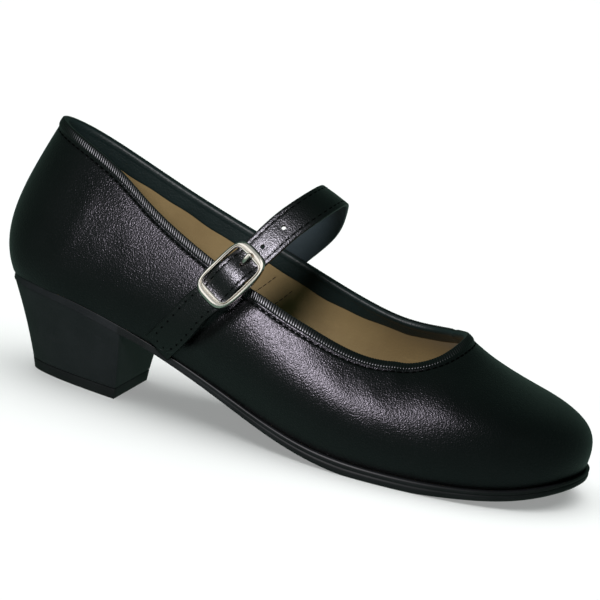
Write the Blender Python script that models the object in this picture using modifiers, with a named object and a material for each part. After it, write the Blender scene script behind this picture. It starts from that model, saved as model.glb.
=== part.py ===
"""Folk dance shoe for the right foot: low-cut leather upper, block heel, buckled instep strap.

The shoe is drawn in millimetres from the back of the heel (x = 0) to the toe, the outer side at -y and
the floor at z = 0. Each piece is then moved so that the origin lies on the floor under the middle of
the shoe, in metres, with the toe along +X.
"""

import math
from collections import namedtuple

import bmesh
import bpy
import numpy as np
from mathutils import Matrix, Vector

OBJECT_NAME = "folk_dance_shoe"

# Driving dimensions in millimetres
MM = 0.001
SHOE_MID = (121.45, 1.27)
GAP = 0.3
WALL = 1.8
BINDING_STEP = 0.5
BINDING_WIDTH = 3.4
INSOLE_THICK = 2.0
INSOLE_INSET = 2.4
LIFT_THICK = 4.2
HEEL_BREAST_X = 58.5
HEEL_BOTTOM_BACK_X = 16.0
HEEL_BOTTOM_HALF_WIDTH = 18.2
HEEL_BOTTOM_SHIFT = -0.6
HEEL_ROUNDNESS = 0.84
HEEL_SEAT_INSET = 1.2
HEEL_SEAT_OUTER = 0.1315
HEEL_SEAT_INNER = 0.1283
HEEL_HOLLOW = 0.04
STRAP_WIDTH = 12.4
STRAP_THICK = 1.6
TAB_THICK = 1.6
SEWN_LIFT = 0.45
STRAP_HOLE_RADIUS = 1.1
PRONG_HOLE_RADIUS = 1.5
HOLE_SPACING = 10.5
BUCKLE_RISE = -0.3
BUCKLE_SHIFT = 0.2
BUCKLE_ACROSS = (0.847, -0.173, -0.4955)
BUCKLE_ALONG = (0.47, 0.327, 0.789)
BUCKLE_LENGTH = 26.8
BUCKLE_WIDTH = 17.2
BUCKLE_SQUARENESS = 3.4
OPENING_LENGTH = 19.0
OPENING_WIDTH = 13.0
OPENING_SQUARENESS = 8.0
BUCKLE_HEIGHT = 2.0
BUCKLE_LIFT = 3.95
BUCKLE_CURL = 0.9
BAR_RADIUS = 0.8
BAR_LIFT = 3.55
PRONG_RADIUS = 0.6

UPPER_AROUND = 88
WALL_SHARES = (0.0, 0.042, 0.127, 0.232, 0.348, 0.464, 0.58, 0.696, 0.8, 0.897, 0.97)

# Rows of the bound topline: distance down from the topline, height over the wall
BindingRow = namedtuple("BindingRow", "down lift")
BINDING_ROWS = (
    BindingRow(BINDING_WIDTH, 0.0),
    BindingRow(BINDING_WIDTH - 0.5, BINDING_STEP),
    BindingRow(0.9, BINDING_STEP),
    BindingRow(0.0, 0.0),
)

# Stations round the last, heel to toe on the outer side and back on the inner side. Feather is the lower
# edge of the upper in plan, top is the topline, out and up shape the wall just above the feather, out and
# drop shape it just below the topline, and sole is how far the outsole's edge stands out past the feather.
Station = namedtuple(
    "Station",
    "name feather_x feather_y top_x top_y top_z out_low up_low out_high drop_high sole",
)
STATIONS = (
    Station("heel_back", 4.5, 0.0, 14.0, 0.0, 101.5, 8.0, 18.0, 12.5, 29.0, -1.0),
    Station("heel_corner_outer", 10.5, -19.3, 21.2, -11.1, 99.8, 8.0, 16.5, 11.0, 28.0, -0.8),
    Station("seat_outer", 34.0, -26.5, 42.2, -17.7, 91.8, 5.5, 15.0, 10.0, 26.0, 0.0),
    Station("breast_outer", 64.0, -26.5, 63.2, -21.3, 79.3, 5.0, 13.0, 10.0, 24.0, 0.3),
    Station("waist_outer", 100.0, -27.0, 92.0, -25.9, 65.7, 5.5, 13.0, 9.5, 21.0, 0.9),
    Station("ball_rear_outer", 135.0, -32.5, 120.9, -28.4, 54.7, 6.0, 13.0, 11.5, 17.5, 1.5),
    Station("ball_outer", 164.5, -35.0, 149.5, -25.4, 44.0, 6.5, 13.0, 16.5, 12.0, 1.8),
    Station("toe_side_outer", 199.5, -31.5, 171.1, -18.7, 42.8, 6.0, 15.0, 22.5, 10.5, 1.8),
    Station("toe_corner_outer", 228.0, -19.0, 182.7, -10.1, 47.8, 6.0, 20.0, 32.0, 14.5, 1.7),
    Station("toe_tip", 240.5, 2.0, 187.0, 3.0, 53.0, 6.5, 26.5, 33.5, 23.5, 1.6),
    Station("toe_corner_inner", 235.5, 22.0, 183.5, 13.5, 52.0, 6.5, 25.5, 28.5, 21.5, 1.7),
    Station("toe_side_inner", 212.5, 33.5, 172.5, 24.8, 48.8, 6.0, 20.0, 18.0, 15.0, 1.8),
    Station("ball_inner", 177.0, 38.5, 152.0, 30.0, 48.0, 6.0, 16.0, 12.0, 12.5, 1.8),
    Station("ball_rear_inner", 140.0, 32.0, 123.0, 31.0, 55.8, 6.0, 15.0, 6.0, 18.0, 1.4),
    Station("waist_inner", 100.0, 23.0, 93.0, 29.0, 66.5, 6.0, 16.0, 4.0, 22.0, 0.8),
    Station("breast_inner", 64.0, 24.0, 62.5, 25.0, 78.0, 5.0, 14.0, 5.0, 24.0, 0.3),
    Station("seat_inner", 36.0, 25.0, 39.0, 20.0, 88.5, 5.0, 16.0, 6.0, 26.0, 0.0),
    Station("heel_corner_inner", 12.0, 18.0, 20.5, 11.5, 97.5, 7.0, 17.0, 9.5, 27.0, -0.8),
)

# Side profile of the sole: x along the shoe, height of its upper face, thickness
Profile = namedtuple("Profile", "x top thick")
PROFILE = (
    Profile(0.0, 40.5, 2.2),
    Profile(30.0, 38.0, 2.2),
    Profile(60.0, 31.5, 2.4),
    Profile(90.0, 22.0, 3.0),
    Profile(120.0, 12.0, 3.8),
    Profile(145.0, 6.3, 4.6),
    Profile(170.0, 4.7, 5.2),
    Profile(200.0, 5.4, 4.3),
    Profile(225.0, 8.6, 4.1),
    Profile(245.0, 14.2, 4.1),
)

# Free arch of the strap over the instep, outer to inner side, at the middle of its thickness. Lean is how
# many degrees its width slopes down towards the toe.
ArchPoint = namedtuple("ArchPoint", "x y z lean")
ARCH = (
    ArchPoint(110.4, -25.2, 75.2, 31.0),
    ArchPoint(115.7, -20.9, 83.0, 32.5),
    ArchPoint(123.2, -12.0, 91.7, 31.0),
    ArchPoint(125.8, 2.0, 94.5, 23.5),
    ArchPoint(122.9, 17.0, 88.6, 17.0),
    ArchPoint(118.3, 27.0, 77.6, 20.0),
)

# Bends of strap, tab and prong: distance along the strap from the centre bar, height over the quarter
Bend = namedtuple("Bend", "along height")
STRAP_BENDS = (
    Bend(-10.6, 3.15),
    Bend(-8.6, 3.2),
    Bend(-4.5, 4.4),
    Bend(0.0, 5.5),
    Bend(4.5, 4.7),
    Bend(8.6, 3.2),
    Bend(10.8, 3.0),
)
TAB_BENDS = (
    Bend(-6.0, 1.65),
    Bend(0.8, 1.75),
)
PRONG_BENDS = (
    Bend(1.5, 2.6),
    Bend(3.6, 2.7),
    Bend(5.2, 3.6),
    Bend(6.0, 5.0),
    Bend(7.2, 6.5),
    Bend(8.8, 7.4),
    Bend(10.9, 7.6),
)
PRONG_HOLE = Bend(5.6, 4.3)


class SmoothCurve:
    """A smooth curve through rows of values at rising knots, open or closed over a unit loop."""

    def __init__(self, knots, values, closed=False):
        self.knots = np.array(knots, dtype=float)
        self.values = np.array(values, dtype=float).reshape(len(self.knots), -1)
        self.closed = closed
        count = len(self.knots)
        ends = np.append(self.knots, self.knots[0] + 1.0) if closed else self.knots
        self.step = np.diff(ends)
        system = np.zeros((count, count))
        right = np.zeros_like(self.values)
        for row in range(count):
            if not closed and row in (0, count - 1):
                system[row, row] = 1.0
                continue
            before, after = self.step[row - 1], self.step[row]
            following = (row + 1) % count
            system[row, row - 1] += before
            system[row, row] += 2.0 * (before + after)
            system[row, following] += after
            rise = (self.values[following] - self.values[row]) / after
            fall = (self.values[row] - self.values[row - 1]) / before
            right[row] = 6.0 * (rise - fall)
        self.bend = np.linalg.solve(system, right)

    def at(self, samples):
        """Return the curve's values at an array of positions."""
        where = np.atleast_1d(np.array(samples, dtype=float))
        if self.closed:
            where = np.mod(where, 1.0)
        last = len(self.step) - 1
        left = np.clip(np.searchsorted(self.knots, where, side="right") - 1, 0, last)
        right = (left + 1) % len(self.knots)
        width = self.step[left][:, None]
        ahead = (where - self.knots[left])[:, None]
        back = width - ahead
        curved = (self.bend[left] * back**3 + self.bend[right] * ahead**3) / (6.0 * width)
        start = (self.values[left] / width - self.bend[left] * width / 6.0) * back
        end = (self.values[right] / width - self.bend[right] * width / 6.0) * ahead
        return curved + start + end


class Last:
    """The shape of the shoe: sole profile, feather line, topline and the wall between them."""

    def __init__(self):
        rows = np.array([station[1:] for station in STATIONS])
        chords = np.linalg.norm(np.roll(rows[:, :2], -1, axis=0) - rows[:, :2], axis=1)
        knots = np.concatenate([[0.0], np.cumsum(chords)[:-1]]) / chords.sum()
        self.rows = SmoothCurve(knots, rows, closed=True)
        profile = np.array(PROFILE)
        self.profile = SmoothCurve(profile[:, 0], profile[:, 1:])

    def sole_top(self, x):
        """Return the height of the sole's upper face at distances along the shoe."""
        return self.profile.at(x)[:, 0]

    def sole_bottom(self, x):
        """Return the height of the sole's lower face, flat on the floor under the ball."""
        profile = self.profile.at(x)
        return np.maximum(profile[:, 0] - profile[:, 1], 0.0)

    def row(self, u):
        """Return the station columns at a position round the last."""
        return self.rows.at(u)

    def outward(self, u):
        """Return the level direction that points out of the feather line."""
        tangent = self.row(np.atleast_1d(u) + 0.002)[:, :2] - self.row(np.atleast_1d(u) - 0.002)[:, :2]
        normal = np.stack([tangent[:, 1], -tangent[:, 0], np.zeros(len(tangent))], axis=1)
        return normal / np.linalg.norm(normal, axis=1)[:, None]

    def edge(self, u, out):
        """Return the feather line in plan, moved outwards by a distance."""
        return self.row(u)[:, :2] + self.outward(u)[:, :2] * out

    def surface(self, u, v):
        """Return the outer face of the upper from the feather (v = 0) to the topline (v = 1)."""
        u = np.atleast_1d(u)
        v = np.atleast_1d(v)[:, None]
        row = self.row(u)
        out = self.outward(u)
        up = np.array([0.0, 0.0, 1.0])
        foot = np.column_stack([row[:, 0], row[:, 1], self.sole_top(row[:, 0]) + GAP])
        top = row[:, 2:5]
        low = foot + out * row[:, 5:6] + up * row[:, 6:7]
        high = top + out * row[:, 7:8] - up * row[:, 8:9]
        return (1 - v) ** 3 * foot + 3 * (1 - v) ** 2 * v * low + 3 * (1 - v) * v**2 * high + v**3 * top

    def normal(self, u, v):
        """Return the outward direction of the upper's wall."""
        u = np.atleast_1d(u)
        v = np.atleast_1d(v)
        around = self.surface(u + 0.001, v) - self.surface(u - 0.001, v)
        rising = self.surface(u, v + 0.004) - self.surface(u, v - 0.004)
        normal = np.cross(around, rising)
        return normal / np.linalg.norm(normal, axis=1)[:, None]

    def lifted(self, u, v, height):
        """Return a point at a height over the outer face of the upper."""
        return self.surface(u, v)[0] + self.normal(u, v)[0] * height

    def below_topline(self, u, down):
        """Return the position up the wall that lies a distance below the topline."""
        row = self.row(u)[0]
        return 1.0 - down / (3.0 * math.hypot(row[7], row[8]))


LAST = Last()


def placed(point):
    """Return a drawn point in metres from the origin under the middle of the shoe."""
    return Vector(((point[0] - SHOE_MID[0]) * MM, (point[1] - SHOE_MID[1]) * MM, point[2] * MM))


def clear_scene():
    """Remove every object of the scene."""
    for thing in list(bpy.data.objects):
        bpy.data.objects.remove(thing, do_unlink=True)


def collection(name):
    """Return a new collection in the scene."""
    group = bpy.data.collections.new(name)
    bpy.context.scene.collection.children.link(group)
    return group


def material(name, colour, roughness, metallic=0.0):
    """Return a plain surface with a colour, a roughness and a metallic value."""
    surface = bpy.data.materials.new(name)
    surface.use_nodes = True
    shader = surface.node_tree.nodes["Principled BSDF"]
    shader.inputs["Base Color"].default_value = (*colour, 1.0)
    shader.inputs["Roughness"].default_value = roughness
    shader.inputs["Metallic"].default_value = metallic
    return surface


def finish(name, bm, group, surface):
    """Turn a bmesh into a named object with its own material."""
    mesh = bpy.data.meshes.new(name)
    bm.to_mesh(mesh)
    bm.free()
    mesh.materials.append(surface)
    mesh.shade_smooth()
    mesh.set_sharp_from_angle(angle=math.radians(40))
    thing = bpy.data.objects.new(name, mesh)
    group.objects.link(thing)
    return thing


def grid(columns, rows):
    """Return a bmesh grid whose vertices remember their place from 0 to 1 along and across."""
    bm = bmesh.new()
    bmesh.ops.create_grid(bm, x_segments=columns, y_segments=rows, size=0.5)
    along = bm.verts.layers.float.new("along")
    across = bm.verts.layers.float.new("across")
    for vert in bm.verts:
        vert[along] = vert.co.x + 0.5
        vert[across] = vert.co.y + 0.5
    return bm, along, across


def slab(name, columns, rows, levels, place, group, surface):
    """Build a closed slab from a grid that is pushed through a list of levels."""
    bm, along, across = grid(columns, rows)
    faces = list(bm.faces)
    moved = list(bm.verts)
    for number, level in enumerate(levels):
        if number > 0:
            made = bmesh.ops.extrude_face_region(bm, geom=faces)["geom"]
            if number > 1:
                inner = [face for face in faces if face.is_valid]
                bmesh.ops.delete(bm, geom=inner, context="FACES")
            faces = [part for part in made if isinstance(part, bmesh.types.BMFace)]
            moved = [part for part in made if isinstance(part, bmesh.types.BMVert)]
        for vert in moved:
            vert.co = placed(place(vert[along], vert[across], level))
    bmesh.ops.remove_doubles(bm, verts=list(bm.verts), dist=0.000001)
    bmesh.ops.recalc_face_normals(bm, faces=list(bm.faces))
    return finish(name, bm, group, surface)


def build_upper(group, surface):
    """Build the hollow upper: one wall round the last, open at the topline and underneath."""
    last_row = len(WALL_SHARES) + len(BINDING_ROWS) - 1
    bm, along, across = grid(UPPER_AROUND, last_row)
    for vert in bm.verts:
        u = vert[along] % 1.0
        number = round(vert[across] * last_row) - len(WALL_SHARES)
        if number < 0:
            v = WALL_SHARES[number] * LAST.below_topline(u, BINDING_WIDTH)
            lift = 0.0
        else:
            v = LAST.below_topline(u, BINDING_ROWS[number].down)
            lift = BINDING_ROWS[number].lift
        vert.co = placed(LAST.lifted(u, v, lift))
    bmesh.ops.remove_doubles(bm, verts=list(bm.verts), dist=0.000001)
    bm.verts.index_update()
    bound = [vert.index for vert in bm.verts if round(vert[across] * last_row) > len(WALL_SHARES)]
    plain = [vert.index for vert in bm.verts if round(vert[across] * last_row) <= len(WALL_SHARES)]
    upper = finish("upper", bm, group, surface)
    bound_wall = WALL + BINDING_STEP
    weights = upper.vertex_groups.new(name="wall")
    weights.add(bound, 1.0, "REPLACE")
    weights.add(plain, WALL / bound_wall, "REPLACE")
    shell = upper.modifiers.new("wall", "SOLIDIFY")
    shell.thickness = bound_wall * MM
    shell.offset = -1.0
    shell.vertex_group = weights.name
    return upper


def sole_point(s, t, inset, height):
    """Return a point of a sole-shaped sheet: along s, across t, inset from the feather line."""
    u = 0.5 * s
    if s <= 0.0 or s >= 1.0:
        plan = LAST.edge(u, -inset(u))[0]
    else:
        outer = LAST.edge(u, -inset(u))[0]
        inner = LAST.edge(1.0 - u, -inset(1.0 - u))[0]
        plan = outer * (1.0 - t) + inner * t
    return (plan[0], plan[1], height(plan[0]))


def build_outsole(group, surface):
    """Build the outsole: true outline, waist, toe spring and a rounded edge."""
    Level = namedtuple("Level", "inset depth")
    levels = (Level(1.0, 0.0), Level(0.25, 0.1), Level(0.0, 0.3), Level(0.0, 0.8), Level(0.5, 1.0))

    def place(s, t, level):
        def height(x):
            top = LAST.sole_top(x)[0]
            return top + (LAST.sole_bottom(x)[0] - top) * level.depth

        return sole_point(s, t, lambda u: level.inset - LAST.row(u)[0, 9], height)

    return slab("outsole", 40, 4, levels, place, group, surface)


def build_insole(group, surface):
    """Build the insole that lies inside the wall on the outsole."""
    Level = namedtuple("Level", "inset rise")
    levels = (Level(0.6, INSOLE_THICK), Level(0.0, INSOLE_THICK - 0.6), Level(0.0, 0.0))

    def place(s, t, level):
        return sole_point(
            s, t, lambda u: INSOLE_INSET + level.inset, lambda x: LAST.sole_top(x)[0] + GAP + level.rise
        )

    return slab("insole", 36, 4, levels, place, group, surface)


def heel_plan(s, t, share):
    """Return a point of the heel's D-shaped section, from the top lift (0) to the seat (1)."""
    depth = HEEL_BREAST_X - HEEL_BOTTOM_BACK_X
    half = HEEL_BOTTOM_HALF_WIDTH * s**HEEL_ROUNDNESS
    low_x = HEEL_BOTTOM_BACK_X + depth * s * s
    inset = HEEL_SEAT_INSET * (1.0 - s)
    outer = LAST.edge(HEEL_SEAT_OUTER * s, -inset)[0]
    inner = LAST.edge(1.0 - HEEL_SEAT_INNER * s, -inset)[0]
    low = np.array([low_x, (2.0 * t - 1.0) * half + HEEL_BOTTOM_SHIFT])
    high = outer * (1.0 - t) + inner * t
    return low + (high - low) * share


def build_heel(group, surface):
    """Build the covered block heel between the top lift and the seat of the outsole."""

    def place(s, t, level):
        share = level - HEEL_HOLLOW * math.sin(math.pi * level)
        plan = heel_plan(s, t, share)
        seat = LAST.sole_bottom(plan[0])[0] - GAP
        base = LIFT_THICK + GAP
        return (plan[0], plan[1], base + (seat - base) * level)

    return slab("heel", 14, 4, (1.0, 0.75, 0.5, 0.25, 0.0), place, group, surface)


def build_top_lift(group, surface):
    """Build the wearing piece under the heel."""

    def place(s, t, level):
        plan = heel_plan(s, t, 0.0)
        return (plan[0], plan[1], level)

    return slab("top_lift", 14, 4, (LIFT_THICK, 0.0), place, group, surface)


def tab_u(v):
    """Return where the tab's middle runs on the outer quarter."""
    return 0.161 + 0.046 * v + 0.023 * v * v


def inner_strap_u(v):
    """Return where the strap's middle runs on the inner quarter."""
    return 0.835 - 0.045 * v - 0.025 * v * v


class BuckleFrame:
    """Local axes of the buckle: along the strap, across it towards the toe, and outwards."""

    def __init__(self):
        quarter_top = LAST.surface(tab_u(1.0), 1.0)[0]
        across = np.array(BUCKLE_ACROSS)
        along = np.array(BUCKLE_ALONG)
        across /= np.linalg.norm(across)
        along -= across * (along @ across)
        along /= np.linalg.norm(along)
        self.along = along
        self.across = across
        self.out = np.cross(across, along)
        self.centre = quarter_top + along * BUCKLE_RISE + across * BUCKLE_SHIFT

    def point(self, along, across, height):
        """Return a drawn point from distances along, across and out of the quarter."""
        return self.centre + self.along * along + self.across * across + self.out * height


BUCKLE = BuckleFrame()


class Ribbon:
    """A band of leather along a smooth path, with its width direction at each station."""

    def __init__(self, centres, widths):
        chords = np.linalg.norm(np.diff(np.array(centres), axis=0), axis=1)
        knots = np.concatenate([[0.0], np.cumsum(chords)])
        self.centres = SmoothCurve(knots, centres)
        self.widths = SmoothCurve(knots, widths)
        self.length = float(knots[-1])

    def frame(self, distance):
        """Return the centre, width direction and outward direction at a distance along the path."""
        centre = self.centres.at(distance)[0]
        ahead = self.centres.at(distance + 0.2)[0]
        behind = self.centres.at(distance - 0.2)[0]
        tangent = (ahead - behind) / np.linalg.norm(ahead - behind)
        width = self.widths.at(distance)[0]
        width = width - tangent * (width @ tangent)
        width /= np.linalg.norm(width)
        return centre, width, np.cross(width, tangent)


def wall_station(u, v, height):
    """Return a ribbon station that lies on the upper: centre and width direction."""
    normal = LAST.normal(u, v)[0]
    width = BUCKLE.across - normal * (BUCKLE.across @ normal)
    return LAST.lifted(u, v, height), width / np.linalg.norm(width)


def arch_station(point):
    """Return a ribbon station of the strap's free arch: centre and width direction."""
    lean = math.radians(point.lean)
    width = np.array([math.cos(lean), BUCKLE.across[1], -math.sin(lean)])
    return np.array([point.x, point.y, point.z]), width / np.linalg.norm(width)


def strap_ribbon():
    """Return the strap's path from its free tip over the instep to the inner feather line."""
    over_tab = SEWN_LIFT + TAB_THICK + GAP + STRAP_THICK / 2
    sewn = SEWN_LIFT + STRAP_THICK / 2
    stations = [wall_station(tab_u(v), v, over_tab) for v in (0.10, 0.30, 0.50, 0.68)]
    stations += [(BUCKLE.point(bend.along, 0.0, bend.height), BUCKLE.across) for bend in STRAP_BENDS]
    stations += [arch_station(point) for point in ARCH]
    over_binding = sewn + BINDING_STEP + 0.1
    stations += [wall_station(inner_strap_u(v), v, over_binding) for v in (0.99, 0.93)]
    stations += [wall_station(inner_strap_u(v), v, sewn) for v in (0.75, 0.50, 0.25, 0.04)]
    return Ribbon([centre for centre, width in stations], [width for centre, width in stations])


def tab_ribbon():
    """Return the tab's path from the outer feather line to the centre bar of the buckle."""
    sewn = SEWN_LIFT + TAB_THICK / 2
    stations = [wall_station(tab_u(v), v, sewn) for v in (0.045, 0.25, 0.50, 0.75)]
    stations += [(BUCKLE.point(bend.along, 0.0, bend.height), BUCKLE.across) for bend in TAB_BENDS]
    return Ribbon([centre for centre, width in stations], [width for centre, width in stations])


def build_ribbon(name, ribbon, columns, thickness, rounded, group, surface):
    """Build a band of leather along a ribbon, with a round tip at its start if asked."""
    bm, along, across = grid(columns, 4)
    half = STRAP_WIDTH / 2
    for vert in bm.verts:
        distance = vert[along] * ribbon.length
        side = 1.0 - 2.0 * vert[across]
        reach = half
        if rounded and distance < half:
            reach = math.sqrt(max(half**2 - (half - distance) ** 2, (0.35 * half) ** 2))
        centre, width, out = ribbon.frame(distance)
        vert.co = placed(centre + width * reach * side)
    bmesh.ops.recalc_face_normals(bm, faces=list(bm.faces))
    band = finish(name, bm, group, surface)
    shell = band.modifiers.new("leather", "SOLIDIFY")
    shell.thickness = thickness * MM
    shell.offset = 0.0
    edge = band.modifiers.new("edge", "BEVEL")
    edge.width = 0.4 * MM
    edge.segments = 1
    edge.limit_method = "ANGLE"
    edge.angle_limit = math.radians(60)
    return band


def cut_hole(band, ribbon, distance, radius, group):
    """Cut a round hole through a band at a distance along its path."""
    centre, width, out = ribbon.frame(distance)
    bpy.ops.mesh.primitive_cylinder_add(vertices=16, radius=radius * MM, depth=6.0 * MM)
    cutter = bpy.context.active_object
    cutter.name = f"hole_{round(distance)}"
    tangent = np.cross(out, width)
    axes = Matrix((width, tangent, out)).transposed().to_4x4()
    cutter.matrix_world = Matrix.Translation(placed(centre)) @ axes
    for owner in list(cutter.users_collection):
        owner.objects.unlink(cutter)
    group.objects.link(cutter)
    cutter.hide_render = True
    cutter.display_type = "WIRE"
    hole = band.modifiers.new(cutter.name, "BOOLEAN")
    hole.operation = "DIFFERENCE"
    hole.object = cutter


def build_strap(group, cutters, surface):
    """Build the instep strap with the holes for the prong."""
    ribbon = strap_ribbon()
    strap = build_ribbon("strap", ribbon, 72, STRAP_THICK, True, group, surface)
    start = nearest_distance(ribbon, BUCKLE.point(PRONG_HOLE.along, 0.0, PRONG_HOLE.height))
    cut_hole(strap, ribbon, start, PRONG_HOLE_RADIUS, cutters)
    for number in (1, 2):
        cut_hole(strap, ribbon, start + number * HOLE_SPACING, STRAP_HOLE_RADIUS, cutters)
    return strap


def nearest_distance(ribbon, point):
    """Return the distance along a ribbon that lies nearest to a point."""
    tries = np.linspace(0.0, ribbon.length, 400)
    centres = ribbon.centres.at(tries)
    return float(tries[np.linalg.norm(centres - point, axis=1).argmin()])


def oval_radius(angle, length, width, squareness):
    """Return how far a squared oval reaches from its middle at an angle from its length."""
    along = abs(math.cos(angle)) / (length / 2)
    across = abs(math.sin(angle)) / (width / 2)
    return (along**squareness + across**squareness) ** (-1.0 / squareness)


def build_buckle_frame(group, surface):
    """Build the buckle's cushion-shaped frame and join its centre bar to it."""
    Corner = namedtuple("Corner", "out rise")
    section = (
        Corner(0.0, 0.0),
        Corner(0.0, 0.75),
        Corner(0.25, 1.0),
        Corner(0.6, 0.85),
        Corner(1.0, 0.3),
        Corner(1.0, 0.0),
    )
    around = 48
    bm, along, across = grid(around, len(section))
    for vert in bm.verts:
        angle = 2.0 * math.pi * (vert[along] % 1.0)
        corner = section[round(vert[across] * len(section)) % len(section)]
        inner = oval_radius(angle, OPENING_LENGTH, OPENING_WIDTH, OPENING_SQUARENESS)
        outer = oval_radius(angle, BUCKLE_LENGTH, BUCKLE_WIDTH, BUCKLE_SQUARENESS)
        reach = inner + (outer - inner) * corner.out
        long_side = reach * math.cos(angle)
        low = BUCKLE_LIFT + BUCKLE_CURL * (long_side / (BUCKLE_LENGTH / 2)) ** 2
        height = low + BUCKLE_HEIGHT * corner.rise
        vert.co = placed(BUCKLE.point(long_side, reach * math.sin(angle), height))
    bmesh.ops.remove_doubles(bm, verts=list(bm.verts), dist=0.000001)
    bmesh.ops.recalc_face_normals(bm, faces=list(bm.faces))
    frame = finish("buckle_frame", bm, group, surface)
    half_wide = (BUCKLE_WIDTH + OPENING_WIDTH) / 4
    bpy.ops.mesh.primitive_cylinder_add(vertices=12, radius=BAR_RADIUS * MM, depth=2 * half_wide * MM)
    bar = bpy.context.active_object
    bar.name = "centre_bar"
    axes = Matrix((BUCKLE.along, BUCKLE.out, -BUCKLE.across)).transposed().to_4x4()
    bar.matrix_world = Matrix.Translation(placed(BUCKLE.point(0.0, 0.0, BAR_LIFT))) @ axes
    return frame, bar


def build_prong(group, surface):
    """Build the prong from the centre bar, up through the strap, to rest on the end of the frame."""
    curve = bpy.data.curves.new("buckle_prong", "CURVE")
    curve.dimensions = "3D"
    curve.bevel_depth = PRONG_RADIUS * MM
    curve.bevel_resolution = 2
    curve.use_fill_caps = True
    bends = SmoothCurve([bend.along for bend in PRONG_BENDS], [bend.height for bend in PRONG_BENDS])
    runs = np.linspace(PRONG_BENDS[0].along, PRONG_BENDS[-1].along, 15)
    rises = bends.at(runs)[:, 0]
    spline = curve.splines.new("POLY")
    spline.points.add(len(runs) - 1)
    for point, run, rise in zip(spline.points, runs, rises):
        point.co = (*placed(BUCKLE.point(run, 0.0, rise)), 1.0)
    curve.materials.append(surface)
    prong = bpy.data.objects.new("buckle_prong", curve)
    group.objects.link(prong)
    return prong


def main():
    """Build every piece of the shoe."""
    clear_scene()
    parts = collection(OBJECT_NAME)
    cutters = collection("cutters")
    leather = (0.012, 0.012, 0.014)
    build_upper(parts, material("upper_leather", leather, 0.35))
    build_insole(parts, material("insole_sock", (0.48, 0.33, 0.17), 0.6))
    build_outsole(parts, material("outsole_sheet", (0.010, 0.010, 0.011), 0.4))
    build_heel(parts, material("heel_cover", (0.014, 0.014, 0.016), 0.5))
    build_top_lift(parts, material("lift_rubber", (0.012, 0.012, 0.012), 0.6))
    tab = tab_ribbon()
    build_ribbon("strap_tab", tab, 24, TAB_THICK, False, parts, material("tab_leather", leather, 0.4))
    build_strap(parts, cutters, material("strap_leather", leather, 0.4))
    frame, bar = build_buckle_frame(parts, material("buckle_plate", (0.78, 0.77, 0.75), 0.18, 1.0))
    for owner in list(bar.users_collection):
        owner.objects.unlink(bar)
    cutters.objects.link(bar)
    bar.hide_render = True
    bar.display_type = "WIRE"
    joint = frame.modifiers.new("centre_bar", "BOOLEAN")
    joint.operation = "UNION"
    joint.object = bar
    build_prong(parts, material("prong_plate", (0.78, 0.77, 0.75), 0.18, 1.0))


main()
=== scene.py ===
"""Looks of a right-foot folk dance shoe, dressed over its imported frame.

The shoe is drawn in millimetres, as its maker would draw it: x from the back of the heel to the toe, the
outer side at -y and the floor at z = 0. Each finished piece stands in metres, in the frame's own place.
"""

from __future__ import annotations

import logging
import math
from dataclasses import astuple, dataclass, field
from enum import Enum
from functools import partial
from typing import Callable, Sequence, Union

import bmesh
import bpy
import numpy as np
from mathutils import Matrix, Vector

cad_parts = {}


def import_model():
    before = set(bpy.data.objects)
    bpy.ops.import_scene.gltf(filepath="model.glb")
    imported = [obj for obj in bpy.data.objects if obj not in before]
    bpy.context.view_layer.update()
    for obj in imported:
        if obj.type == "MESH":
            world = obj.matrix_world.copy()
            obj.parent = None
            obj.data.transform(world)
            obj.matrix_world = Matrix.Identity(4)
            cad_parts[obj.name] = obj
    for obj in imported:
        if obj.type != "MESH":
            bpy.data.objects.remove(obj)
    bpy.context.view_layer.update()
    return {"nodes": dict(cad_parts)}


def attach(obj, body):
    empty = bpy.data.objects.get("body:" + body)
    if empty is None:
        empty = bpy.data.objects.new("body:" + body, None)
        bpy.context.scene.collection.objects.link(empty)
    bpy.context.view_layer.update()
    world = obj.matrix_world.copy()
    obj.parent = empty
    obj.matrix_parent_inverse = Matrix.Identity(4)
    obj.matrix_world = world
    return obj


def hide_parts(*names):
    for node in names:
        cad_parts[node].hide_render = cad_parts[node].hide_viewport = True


LOG = logging.getLogger("folk_dance_shoe")

Array = np.ndarray
BMesh = bmesh.types.BMesh
Collection = bpy.types.Collection
Socket = bpy.types.NodeSocket
Colour = tuple[float, float, float]
Pairs = tuple[tuple[float, float], ...]
Source = Union[float, Sequence[float], Socket]
Inputs = dict[Union[str, int], Source]
Shape = Callable[[Array, Array], Array]

MM = 0.001
SHOE_MID = (121.45, 1.27)
BODY = "root"


class Slot(Enum):
    """Names of the record's material slots."""

    UPPER = "upper_leather"
    SOCK = "insole_sock"
    SOLE = "outsole_sheet"
    HEEL = "heel_cover"
    LIFT = "lift_rubber"
    STRAP = "strap_leather"
    PLATE = "buckle_plate"


class Side(Enum):
    """The two long edges of a strap, as signs of its width direction."""

    REAR = -1.0
    FRONT = 1.0


@dataclass(frozen=True)
class Station:
    """One section round the last: feather edge, topline, and how the wall leaves both."""

    feather_x: float
    feather_y: float
    top_x: float
    top_y: float
    top_z: float
    out_low: float
    up_low: float
    out_high: float
    drop_high: float
    sole: float


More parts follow.
